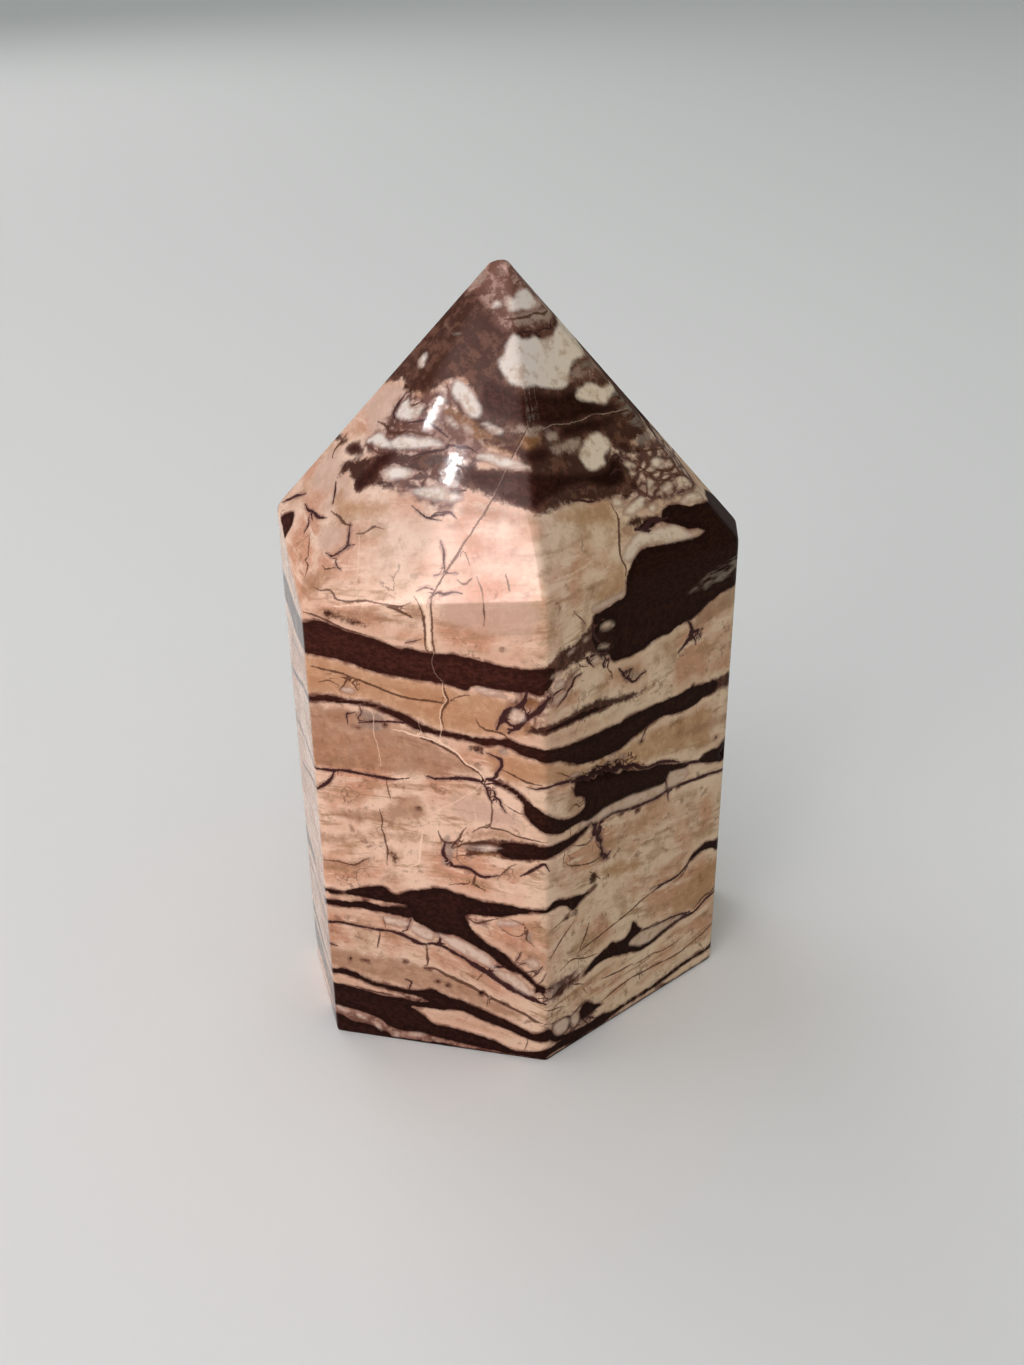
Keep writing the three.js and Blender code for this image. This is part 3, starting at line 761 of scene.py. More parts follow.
FRONT_LEFT_LINES: Threads = {Thread.BROWN: (
    (0.26, 17.8, 54, 19, 53.8, 21, 53.5, 23, 52.9, 25, 52.2, 27, 51.5, 29, 51.1, 31, 51.1, 33, 51),
    (0.3, 20.9, 51.6, 21.4, 52.4, 21.8, 53, 22.3, 52.4, 22.7, 51.8),
    (0.26, 18.6, 52.2, 19.4, 52.4, 20.3, 52.1), (0.18, 34, 51.7, 34.8, 52.1, 35.6, 52.3),
    (0.22, 36.6, 49.2, 36.8, 48.6, 37.6, 48.1, 38.4, 48, 39.5, 47.8, 40.3, 47.1),
    (0.2, 31.6, 63.9, 31.8, 62.5, 31.85, 61, 31.8, 59, 31.95, 57.7, 31.6, 57.3),
    (0.24, 29.8, 63.4, 30.5, 62.7, 30.8, 61.8, 31, 60.5, 31, 59, 31, 57.7, 31.3, 57.3),
    (0.5, 31.9, 57.1, 31.8, 56, 32, 55, 32.2, 54.2),
    (0.22, 32.9, 53.2, 33.1, 52, 33.4, 51.3, 33.1, 50.7, 32.7, 50.1, 32.5, 49, 32.7, 48),
    (0.24, 30.2, 46, 31.2, 45.7, 32.3, 45.3, 33.4, 44.7, 34.3, 44.1, 35, 43.2, 36.1, 42.6, 36.9, 42.1,
     37.1, 41.6),
    (0.2, 27.5, 40.3, 29, 40.6, 30.4, 40.9), (0.2, 38.1, 38.4, 38.2, 37.2, 38.1, 36, 37.9, 34.9),
    (0.2, 36, 34.1, 37, 34.8, 38.5, 34.8, 40, 34.6, 41, 34.1, 43, 33.8, 44.6, 33.6),
    (0.16, 39.8, 38.2, 40.8, 37.6, 41.5, 37.3, 42.2, 37.2),
    (0.28, 31.7, 33.2, 32, 32.4, 32.6, 32, 33.5, 32.2, 34.2, 32.9, 34.5, 33.8, 34.8, 34.2),
    (0.3, 33.6, 31.4, 35, 32.2, 36.6, 32.5, 38.4, 32.6, 40.4, 32.4),
    (0.26, 34, 30.3, 35.6, 30.8, 37.4, 31.3, 39.2, 31.5, 41, 31.4),
    (0.3, 36, 27.9, 35.8, 27, 35.9, 26.4, 36.9, 25.8),
    (0.18, 38.8, 27.7, 39.5, 28.8, 40.2, 29.5, 40.7, 29.9),
    (0.2, 24.6, 33, 24.9, 32, 25, 31, 25.2, 30, 25.1, 28), (0.22, 24.6, 35.3, 24.8, 34, 24.6, 33),
    (0.2, 25.6, 39.7, 25.7, 38.8, 25.9, 37.6), (0.2, 17, 27.2, 19, 27.3, 20.5, 27, 21.5, 27.4, 22.6, 28.2),
    (0.22, 33, 25.9, 34.5, 26.3, 35.8, 26.3), (0.3, 24.2, 19.4, 24.3, 18.5),
    (0.26, 35, 21.2, 35.9, 20.6, 36.8, 20.9, 37.6, 21.3, 38.4, 21.6),
    (0.14, 39, 20.4, 40, 19.6, 41.2, 19.4, 42, 20.2, 41.6, 21.3, 40.2, 21.9),
    (0.2, 41.9, 21.4, 42.3, 20.3, 42.1, 19.2, 42.9, 18.4),
    (0.4, 29.4, 12.5, 30.5, 12.6, 32, 11.8, 33.5, 11.2, 35, 10.6, 36.3, 9.9, 37.8, 9.1, 39.2, 8.5, 40.5, 7.9,
     42, 7.2, 43, 6.5, 44.2, 6.1),
    (0.3, 23.6, 17.3, 23.4, 16, 23.2, 15.1), (0.34, 29.5, 15.8, 29.6, 14, 29.5, 12.9),
    (0.2, 37.2, 9, 37.1, 8.1), (0.2, 36.5, 12.7, 36, 12), (0.2, 42.2, 2.9, 42.1, 2.2, 41.9, 1.6),
    (0.2, 16.9, 63.2, 17.8, 63, 18.8, 63.2, 19.6, 62.9, 20.4, 62.4, 22, 62.3, 24, 62.6, 26, 62.5, 28, 62.5,
     29, 62.8),
    (0.36, 26.5, 62.4, 28, 62.1, 29.3, 61.5), (0.22, 16.9, 60.8, 18.5, 60.5, 20, 59.9, 22, 59.1, 24, 58.7),
    (0.18, 37.6, 63.9, 37.7, 62.6, 37.7, 61.4), (0.22, 39.5, 43, 41, 42.3, 42.6, 41.6, 43.8, 41.5),
), Thread.PALE: (
    (0.5, 30.6, 63.3, 31.2, 62.4, 31.4, 61, 31.4, 59, 31.5, 57.7),
    (0.04, 31.9, 57.2, 31.7, 56, 31.9, 54.8, 33, 53.4),
    (0.08, 32.7, 53.3, 32.9, 52, 33.2, 51.4, 33, 51, 32.5, 50.3, 32.3, 49, 32.5, 48, 32.4, 47.2, 32.2, 46.3,
     32.3, 45.7),
    (0.2, 27, 46.8, 28, 46.7, 29, 46.4, 30.3, 46.2, 31.2, 46, 32.3, 45.7, 33.4, 45.1, 34.4, 44.4, 35.1, 43.4,
     36.2, 42.8, 37, 42.3, 37.3, 41.6),
    (0.05, 24.1, 49.3, 24.5, 48.3, 24.4, 47, 24.4, 46, 24.7, 44.8, 24.9, 43.5, 25, 42),
    (0.1, 29.8, 48.3, 29.9, 47.6, 30.1, 46.9), (0.16, 26.5, 40.4, 28.5, 40.6, 30, 40.8, 30.4, 41.1),
    (0.2, 29.7, 33, 29.5, 32, 29.3, 30.5, 29.1, 29, 28.9, 28.3, 28, 27.8),
    (0.06, 35.9, 39.5, 34.8, 38.7, 33.5, 37.6, 32.2, 36.9, 31.7, 36, 31.3, 35.5),
    (0.1, 31.6, 35, 31.5, 34, 31.5, 33), (0.08, 27.6, 39.9, 28.2, 40.2, 29, 40.5),
    (0.1, 36.1, 37, 36.2, 36, 36.2, 35),
), Thread.DARK: (
    (0.22, 30.3, 46.05, 30.8, 46, 31.2, 45.8),
    (0.22, 22.9, 47.3, 24.5, 47.6, 26, 47.8, 28, 47.9, 29.2, 47.7), (0.24, 21.3, 47.2, 21.3, 48.2, 22, 48.5),
    (0.2, 22.7, 48, 23.1, 48.6, 23, 49.1),
    (0.34, 38, 44.9, 38.6, 44.7, 39.3, 44.3, 39.4, 43.5, 39, 42.8, 38.8, 42.2, 39.2, 41.6),
    (0.26, 39.3, 43.2, 38.7, 42.5, 38.6, 41.8, 37.7, 41.5, 38.4, 41.3, 39.2, 41.5),
    (0.32, 16.9, 40.35, 19, 40.4, 20, 40.5, 22, 40.4, 24, 40.2, 26.3, 40.1, 27.5, 40.3),
    (0.36, 30.6, 41, 31.5, 40.8, 33, 41, 34, 41.2, 35.5, 41.3, 36.8, 41.1, 37.4, 40.6),
    (0.42, 19.2, 40.2, 18.9, 39.3, 18.3, 38.6, 17.6, 38, 16.9, 37.5),
    (0.3, 37.3, 40.8, 37.6, 40, 37.8, 39.2, 38.1, 38.6),
    (0.26, 37.9, 40.4, 38.5, 39.9, 38.6, 39.2, 39.1, 38.8, 39.3, 38, 39.7, 37.4),
    (0.2, 33.3, 31.6, 33.6, 32.1, 34, 32.4), (0.44, 32.3, 31.5, 32.1, 30.6, 32.4, 29.8, 32.9, 29.3),
    (0.34, 32.7, 28.8, 33.5, 28.7, 34.5, 28.7, 35.5, 28.5, 36.3, 27.9, 37, 27.7, 37.7, 27.8, 38.5, 28),
    (0.3, 41.7, 28.6, 42.7, 29.3, 43.5, 30, 44.4, 30.5, 45, 29.6), (0.3, 27.6, 19.6, 27.3, 18.9, 27.1, 18.2),
    (0.3, 15.2, 16.9, 16.9, 17.7, 18.6, 18, 20.6, 17.8, 23, 17.6, 25.2, 17.6),
    (0.5, 25, 17.6, 26.5, 17.3, 27.8, 16.7, 28.8, 16.3, 29.6, 16.35),
    (0.36, 29.6, 16.4, 30.4, 16.6, 31.8, 16.3, 33, 15.6, 34.5, 14.8, 35.5, 14.1),
    (0.72, 34.6, 14.7, 36, 13.8, 37.5, 13, 38.5, 12.2, 40, 11.3, 41.5, 10.6, 43, 9.9, 44.2, 9.4),
    (0.22, 40.6, 15.2, 41.1, 16, 41.4, 16.8), (0.18, 41, 14.9, 41.9, 15.4, 42.6, 15.6),
    (0.2, 42, 13.9, 42.9, 14.4, 43.8, 14.6), (0.18, 42.6, 13.2, 43.4, 14, 44, 15),
    (0.18, 43.4, 12.3, 44, 12.9, 44.5, 13.9), (0.24, 43.9, 11.2, 44.6, 10.3, 45.2, 9.9),
    (0.22, 44.1, 11.5, 45, 11.6, 45.8, 11.2), (0.5, 37.2, 14.1, 38.2, 14.2, 39.2, 14.4),
    (0.4, 30.9, 16.5, 31.3, 17.3, 31.2, 18.1), (0.26, 26.8, 10.2, 27.4, 10, 27.1, 9.2, 26.9, 8.7),
    (0.16, 20.1, 7.9, 21.5, 7.6, 23, 7.5, 24.8, 7.3), (0.2, 29, 58.2, 29.6, 58.4, 30.3, 58.7),
    (0.6, 42.3, 53.2, 42.1, 52.2, 41.3, 51.4, 40.2, 50.9, 39.7, 49.9, 39.2, 49.2, 39, 48.6),
    (0.62, 44.7, 52.6, 44, 51.6, 43.2, 50.7, 42.3, 50, 41.5, 49, 40.5, 48.2),
    (0.34, 42.2, 51, 42.3, 50.1, 41.6, 49.2, 40.6, 49, 39.9, 49.6),
    (0.2, 42.6, 41, 43.3, 40.85, 44.2, 41.1, 45.5, 41.1, 47.2, 40.8, 48.2, 40.7, 49.2, 40.3),
)}

# The front right wall.
FRONT_RIGHT_LAYERS: Layers = {Tone.BROWN: (
    ((43.5, 56.9, 45.5, 57.2, 46.6, 58.2, 48, 58.1, 49.5, 58.6, 50.8, 59.6, 52, 60.6, 53.5, 60.8, 55, 60.8),
     (43.5, 54.4, 45.5, 55.3, 47.5, 55.6, 49.5, 55.9, 51, 56.2, 53, 55.6, 54, 55.2, 55, 55)),
    ((42, 48.5, 43.5, 49, 45, 49.3, 48, 49.4, 51, 49.7, 53, 49.7, 54.5, 49.2, 57, 48.7, 59, 48.3,
      60.6, 48.05),
     (42, 48.1, 44, 48.2, 47, 48.2, 50, 48.1, 53, 48.1, 56, 47.9, 58.5, 47.9, 60.6, 47.95)),
    ((71.5, 45.2, 73.5, 45.2, 76, 44.9, 80, 44.4, 83, 43.9),
     (71.5, 43.2, 73.5, 43.1, 76, 43.3, 80, 43.5, 83, 43.7)),
    ((64.5, 1.2, 66, 0.6, 67.2, 0), (64.5, 0.8, 65.6, 0.2, 66.5, -0.5)),
), Tone.SHADE: (
    ((68, 55.2, 70.5, 56, 73, 56.6, 79, 56.9), (68, 53, 70.5, 53.6, 73, 54, 79, 54.6)),
    ((66, 40.4, 70, 39.8, 76, 39.2, 80, 38.8), (66, 39.4, 70, 38.4, 76, 38, 80, 38)),
), Tone.DARK: (
    ((44, 48.6, 46.5, 48.9, 49, 49, 51.5, 48.9, 54, 48.6),
     (44, 48.4, 46.5, 48.4, 49, 48.4, 51.5, 48.3, 54, 48.4)),
    ((70.4, 34, 71.3, 34.7, 72.5, 34.8, 73.8, 34.6, 75.1, 35.2, 79, 35.6, 85, 36, 93, 37.5, 103, 40,
      113, 42.2, 121, 42.3),
     (70.4, 33.8, 72, 33.2, 73.5, 32.7, 75.1, 32.3, 79, 33, 85, 34.2, 93, 35.4, 103, 38.2, 113, 40.8,
      121, 41.8)),
    ((69.6, 19.3, 70.8, 20.1, 72.3, 20.5, 73.2, 20.5, 74.2, 20.1, 75.1, 19.9, 80, 19.6, 86, 20.6, 92, 22.4),
     (69.6, 19, 71, 19.4, 72, 19.6, 73.2, 19.4, 74.2, 19, 75.1, 18.4, 80, 18.4, 86, 19.9, 92, 22.2)),
    ((54, 2.1, 55.5, 1.5, 57, 1.5, 60, 1.6, 63, 1.6, 65, 1.7, 67, 1.9, 69, 2.2, 72, 2.3, 75.1, 2.5, 82, 3.4,
      91, 4.6, 100, 5.6, 108, 5.9),
     (54, 0.5, 56.5, 0.8, 58, 1.1, 60, 1.1, 63, 1.1, 65, 1.2, 67, 1.5, 70, 1.8, 73, 1.9, 75.1, 1.9, 82, 2.6,
      91, 3.6, 100, 4.8, 108, 5.8)),
), Tone.PALE: (
    ((50, 34.2, 51.2, 33.7, 52.5, 33.9, 54, 34.3, 58, 34.2, 62, 33.6, 64.4, 33.4),
     (50, 33.2, 51.6, 33.2, 53, 32.9, 55.5, 33.1, 58, 32.6, 62, 32.2, 64.4, 32.2)),
), Tone.TAN: (
    ((54, 25.4, 57, 24.8, 60, 23.9), (54, 24, 57, 23.2, 60, 22.9)),
    ((67, 15.4, 70, 16, 73, 17, 79, 16.5), (67, 11.4, 70, 11.2, 73, 12.2, 79, 12.5)),
)}
FRONT_RIGHT_PATCHES: Outlines = {Tone.MARBLE: (
    (44.4, 9.6, 46.4, 9.2, 49, 9.8, 51.4, 10.8, 50.4, 12, 47.6, 12.2, 44.8, 11.6),
    (45.4, 5.4, 48.4, 5.8, 51.6, 5.9, 53.6, 4.4, 52, 2.4, 47.6, 2.4, 45.6, 3.4),
    (40, 51.4, 42.4, 53.2, 45, 53.6, 44.8, 50.6, 42.4, 48.6, 39.6, 48.4),
), Tone.DARK: (
    (52.6, 59.6, 54.6, 59.9, 55.4, 57.6, 54.8, 54.6, 53.6, 55.4, 52.4, 55.9, 51.6, 57.2, 51.4, 58.6),
    (51.5, 60.7, 53, 60.9, 55, 61.3, 56.3, 61.5, 56.5, 62.5, 56.5, 63.5, 57, 64.2, 58.3, 65, 59.5, 65.5,
     61, 65.7, 64, 65.3, 67, 65, 70, 64.8, 71.2, 65.1, 70, 65.6, 68.8, 65.9, 67.6, 66.6, 66.2, 67.2,
     65.4, 67.5, 66, 67.9, 67, 68.5, 68.5, 68.6, 70, 68.4, 71.5, 67.8, 73, 67.7, 76, 67.4, 80, 66.8,
     85, 65.6, 89, 63.6, 91.5, 61, 90, 58.6, 86, 57.8, 81, 57.4, 75.1, 57, 73, 56.8, 70.5, 56.2, 69, 55.5,
     67.5, 55, 65, 54.8, 64, 54.4, 62, 54.4, 60.5, 54.1, 59, 53.7, 57, 53.6, 55.3, 53.8, 54.3, 54.5,
     54.4, 56, 54.8, 57.6, 54.4, 59.6, 53, 59.9, 52, 59.3, 51.4, 60),
    (51, 10.6, 51.8, 11.3, 52.8, 12, 54, 12.4, 55, 12.7, 55.8, 13.1, 56.6, 12.6, 57.6, 12.4, 58.5, 12.6,
     59.1, 13.2, 59.4, 14.4, 59.9, 14, 60.4, 13.2, 61.2, 12.5, 62.4, 12, 64, 11.7, 62.5, 11.8, 61, 12,
     59.8, 11.8, 58.8, 11.3, 59.4, 10.7, 60.4, 10.1, 61.5, 9.7, 63, 9.6, 64.2, 9.9, 65.8, 10.2, 67.8, 10.4,
     69.4, 10.3, 67, 9.9, 65, 9.6, 63.5, 9.1, 62, 8.9, 60.5, 9.1, 59, 9.7, 57.5, 10.2, 56, 10.7, 54.5, 11,
     53, 10.9, 52, 10.6),
    (44.4, 4.9, 45.2, 5, 45.8, 4, 46.4, 3.1, 47.5, 2.7, 48.6, 2.2, 50, 2, 49, 1.4, 47.5, 1.9, 46, 2.4,
     45.2, 3.3, 44.4, 3.9),
    (50.3, 4.7, 50.7, 5.4, 51.4, 5.8, 52.3, 5.2, 53, 4.5, 54.4, 3.9, 53, 3.6, 51.5, 3.3, 50.5, 3.4),
), Tone.FILM: (
    (66.6, 58.6, 68.6, 59.4, 71, 60.4, 73, 60.7, 78, 60.9, 82, 60.5, 80, 59, 75, 58.5, 71, 58.1, 68.4, 58.2),
), Tone.SHADE: (
    (48.6, 39.6, 49.8, 39.2, 50.6, 37.8, 50.8, 36.4, 49.8, 35.4, 48.4, 35.6, 47.6, 36.8, 47.8, 38.4),
), Tone.CRUST: (
    (47.4, 41, 49.4, 40.7, 51.4, 40.8, 52.2, 40.9, 53.6, 40.6, 54.8, 40.3, 56.4, 40.2, 57.5, 40.5,
     58.4, 39.9, 59.6, 38.6, 60.4, 37.5, 58.8, 37.9, 57.2, 38.5, 55.4, 39, 53, 39.3, 51, 39.5, 49.2, 40.3),
), Tone.PALE: (
    (64.9, 34.6, 67, 34.3, 68.2, 33.8, 68.4, 33, 67.6, 32.4, 65.1, 32.3),
    (58.9, 11.3, 60, 11.8, 61.5, 11.9, 63.5, 11.6, 66, 11.2, 68.5, 10.8, 69.3, 10.5, 67, 10.4, 65, 10.1,
     63, 9.6, 61.5, 9.7, 60, 10.3),
    (45.9, 4, 46, 5.2, 47.2, 5.4, 48.2, 5.1, 48.5, 4.2, 48.1, 3.2, 46.8, 3.1),
    (48.9, 4.8, 49.8, 5, 50.3, 4.4, 50.2, 3.4, 49.2, 3.1, 48.8, 3.9),
)}
FRONT_RIGHT_PEBBLES: Outlines = {Tone.PALE: (
    (46, 55.35, 1.5, 0.5), (48.2, 57.4, 1.3, 0.45, 20), (50.4, 58.2, 0.9, 0.6), (53.6, 58.8, 2.1, 1.1, -10),
    (53.2, 56.4, 1.9, 0.6, -14), (46.5, 53.9, 1.5, 1.1, -10), (52.2, 54.9, 1.9, 0.9, -22),
    (46.6, 52.3, 2.2, 0.8, 24), (48.9, 41, 1.6, 0.4, -6), (51.4, 40.7, 1.3, 0.5, -4),
    (54.7, 40.9, 1.5, 0.55, 12), (56.6, 40.3, 1.2, 0.6, -24),
), Tone.GREY: (
    (56.2, 55.8, 2.2, 0.3, -3), (57.9, 50.9, 2.4, 0.9, -8), (32.6, 30.8, 1.6, 4.4, -6),
    (46.3, 10.8, 2, 1.1, -20), (51.7, 4.8, 1.5, 0.9, -20),
), Tone.MAUVE: (
    (48, 53.9, 3.6, 0.8, 40), (52.7, 31.5, 3, 1.1, -60), (54.1, 27.5, 1.8, 1.1, -40),
    (53.4, 29.4, 2, 0.6, -70),
), Tone.BROWN: (
    (73.5, 59.5, 7, 0.35, 5), (52.4, 24.8, 1.5, 1.5, -30), (54.4, 24, 1.3, 0.35), (49.4, 21.2, 1.2, 0.7),
    (73.3, 36.4, 1, 0.6, 20), (53.8, 27.4, 1, 0.7, -20), (47.3, 10.2, 2.4, 1.1, 10), (49.4, 10.9, 1.8, 0.7),
), Tone.AMBER: (
    (53, 41.2, 2, 0.6, 6),
), Tone.DARK: (
    (59.6, 31.5, 0.5, 0.5), (56.8, 32.3, 0.6, 0.3), (66.8, 31.9, 0.6, 0.5), (70.5, 32, 0.5, 0.3),
    (59.8, 41.3, 0.5, 0.6, 30), (47.8, 21.1, 0.8, 0.35),
)}
FRONT_RIGHT_LINES: Threads = {Thread.DARK: (
    (0.5, 67, 54.8, 67.6, 53.8, 67.9, 53, 67.3, 52.5, 66.8, 52, 65.8, 51.4),
    (0.5, 67.7, 53.1, 68.6, 53.1, 69.3, 53), (0.34, 68.4, 53, 69, 52.4, 69.2, 52.1),
    (0.3, 67.2, 52.5, 68.2, 52.2, 68.5, 51.5),
    (0.32, 55.8, 52.4, 56.3, 51.8, 56.7, 51.1, 57.4, 50.6, 57.9, 50.1, 58.6, 50.05, 59.2, 50.45, 59.9, 50.6),
    (0.3, 56.5, 51.9, 57.2, 51.95, 57.9, 51.7, 58, 51.3), (0.34, 56.6, 51.3, 57.2, 51.7, 57.5, 51.2),
    (0.3, 52.9, 54.9, 53.5, 54.5, 53.1, 54, 53.4, 53.6), (0.3, 53.5, 54.9, 54, 54.4, 53.9, 53.8),
    (0.36, 50.3, 56.3, 50.8, 55.3, 51.5, 54.5), (0.3, 50.2, 55.9, 51.6, 55.7, 53.2, 55.5, 54.4, 55.8),
    (0.3, 51.6, 60.2, 51.4, 59, 51.8, 58, 52.4, 57.2, 53, 56.9),
    (0.26, 49.6, 54.1, 48.9, 54, 48.5, 53.6, 48.4, 53, 47.8, 52.7, 47.4, 52.1, 46.8, 51.7, 46.4, 51.4),
    (0.24, 47, 53.2, 46.2, 53.1, 45.5, 52.9, 45.4, 52.4),
    # Partly a real crack and partly painted shadow under the crust's overhang: a dark line along the hollow
    # and on along the top of the dark mass.
    (0.42, 45.6, 41.1, 46.8, 40.9, 48.2, 40.5, 49.2, 40.1, 50.4, 39.9, 51.4, 39.5, 52.6, 39.6, 53.6, 39.2,
     54.6, 39.3, 55.6, 38.7, 56.8, 38.7, 57.8, 38.2, 59, 38.1, 59.8, 37.5, 61, 37.1, 63, 36.9, 64.8, 36.4,
     66.4, 35.6),
    (0.3, 52.6, 40.9, 53.6, 40.2, 54.2, 40.6, 55.2, 39.9, 56.2, 40.2, 57, 39.4),
    (0.26, 60, 41.8, 60.4, 42.5, 60.9, 43.1), (0.4, 67.6, 34.7, 69, 34.5, 70.2, 34.1, 71, 34.5),
    (0.3, 64.4, 34, 64.6, 33, 64.8, 32, 65, 30.8),
    (0.46, 52.9, 32.4, 53.6, 32.9, 54.5, 33, 55.6, 33, 57, 32.6, 59, 32.2, 61, 32, 63, 31.9, 65, 32.2,
     66.5, 32.1),
    (0.36, 66, 32.15, 68.5, 31.8, 70.5, 31.5, 73, 31.2, 75.1, 30.8, 80, 30.6),
    (0.36, 72.5, 31.2, 74, 31, 76.5, 30.6, 82, 30.3, 90, 30.6),
    (0.5, 51.8, 33.2, 52.4, 32.3, 52.2, 31.5, 52.9, 31, 52.8, 30.3, 53.4, 29.8, 53.4, 28.9),
    (0.34, 52.7, 32.9, 53.1, 32.1, 53.4, 31.5, 53.1, 30.8, 53.6, 30.1),
    (0.3, 52, 33, 52.6, 32.4, 52.2, 31.6, 52.9, 31.2),
    (0.36, 53.4, 29, 53.7, 28.4, 53.5, 27.8, 54.2, 27.5, 54.5, 27, 54.9, 27.3),
    (0.3, 53.7, 27.5, 54.1, 26.8, 54.7, 26.6),
    (0.26, 61.5, 12.1, 63.5, 11.7, 65, 11.6, 66.8, 11.4, 68.5, 11, 70, 10.7),
    (0.3, 65, 9.9, 68, 10.2, 70, 10.1, 71.2, 10.1, 72.5, 10.6, 73.5, 11.1, 75.1, 11.4, 80, 12.4),
    (0.3, 63, 17.5, 65, 17.8, 67, 17.7, 68.6, 18.2, 69.8, 19.2),
    (0.34, 48.2, 5.3, 48.8, 4.6, 48.6, 3.7, 48.2, 3), (0.3, 50.8, 3.4, 51.3, 2.7, 51.8, 2.1),
    (0.3, 51.8, 3.4, 52.3, 2.7, 53.1, 2.2), (0.3, 50.1, 3.1, 49.6, 2.6, 49.2, 2.1),
), Thread.BROWN: (
    (0.26, 53.9, 53.6, 54, 53, 54.5, 52.5, 54.6, 52), (0.26, 49.3, 55.6, 49.6, 55.1, 50.5, 54.8),
    (0.3, 46.6, 57.9, 47.8, 57.4, 49.4, 58.2, 50.6, 58.9), (0.2, 48.7, 62, 49.3, 61.3, 50.2, 60.3),
    (0.2, 46.5, 42.4, 47.5, 41.7, 48.4, 41, 49, 40.5), (0.3, 48.6, 39.5, 49.2, 38.7, 50.2, 38.2, 50.4, 37.4),
    (0.24, 48.2, 36.6, 49.2, 37, 49.8, 36.4, 50.4, 36.6), (0.16, 48.3, 34, 48.4, 33.4, 48.3, 32.8),
    (0.18, 49, 31.2, 50.2, 30.7, 51.3, 30.5, 52.5, 31.3), (0.2, 52.2, 31.4, 51.8, 31),
    (0.24, 52.9, 29.4, 53.2, 28.9, 53.6, 28.5), (0.22, 47.5, 31, 47.4, 30.3, 47.3, 29.8),
    (0.18, 47.7, 29.3, 48.3, 28.6, 50, 27.9, 51.5, 27.4, 53.5, 27.4),
    (0.3, 52, 25.8, 52.6, 25.2, 53.3, 24.4),
    (0.26, 71.3, 10.8, 72.3, 11.4, 73.3, 11.8, 74.2, 11.6, 75.1, 12.1, 79, 13.2),
    (0.3, 63.4, 18.1, 64.5, 17.9, 65.4, 17.6), (0.2, 67, 17.1, 67.8, 17.2, 68.8, 17.7, 69.7, 19),
    (0.24, 50, 14.7, 53, 15.2, 56, 15.8, 59, 16.5, 61, 17.1, 63, 17.5),
    (0.22, 45.5, 16.4, 46.5, 17.6, 47.6, 18.6, 49, 19.8), (0.26, 50.4, 15.4, 51.1, 16.6, 51.6, 18),
    (0.22, 47.2, 13.5, 48.9, 14.1, 50, 13.6, 51.5, 13, 53, 12.7), (0.14, 45.2, 20.3, 46.5, 20.7, 48, 21.2),
    (0.24, 54.5, 8, 57, 7.6, 59.5, 7.5), (0.18, 60.2, 7.1, 62, 7.1, 63.5, 7.1, 65, 6.7, 67, 6.6, 69, 6.8),
    (0.24, 54.5, 4.4, 57, 4.9, 59.5, 5.2, 62, 5, 64.5, 4.8, 67, 4.5, 69, 4.5, 71, 4.9, 73, 5.3, 75.1, 5.9,
     82, 7, 92, 8.8, 104, 10.2),
    (0.2, 61.1, 4.8, 61.2, 4.3), (0.22, 44.6, 8.2, 45.3, 7.9, 46.4, 7.7, 47.3, 7.4),
    (0.16, 46.5, 6.9, 46.4, 6.2, 46, 5.6, 44.9, 5.9), (0.2, 46, 5.5, 47.5, 5.5, 48.4, 5.3),
    (0.22, 51, 8.1, 51.4, 7.4), (0.3, 49.2, 10, 49.9, 9.6, 50.6, 9.2),
)}

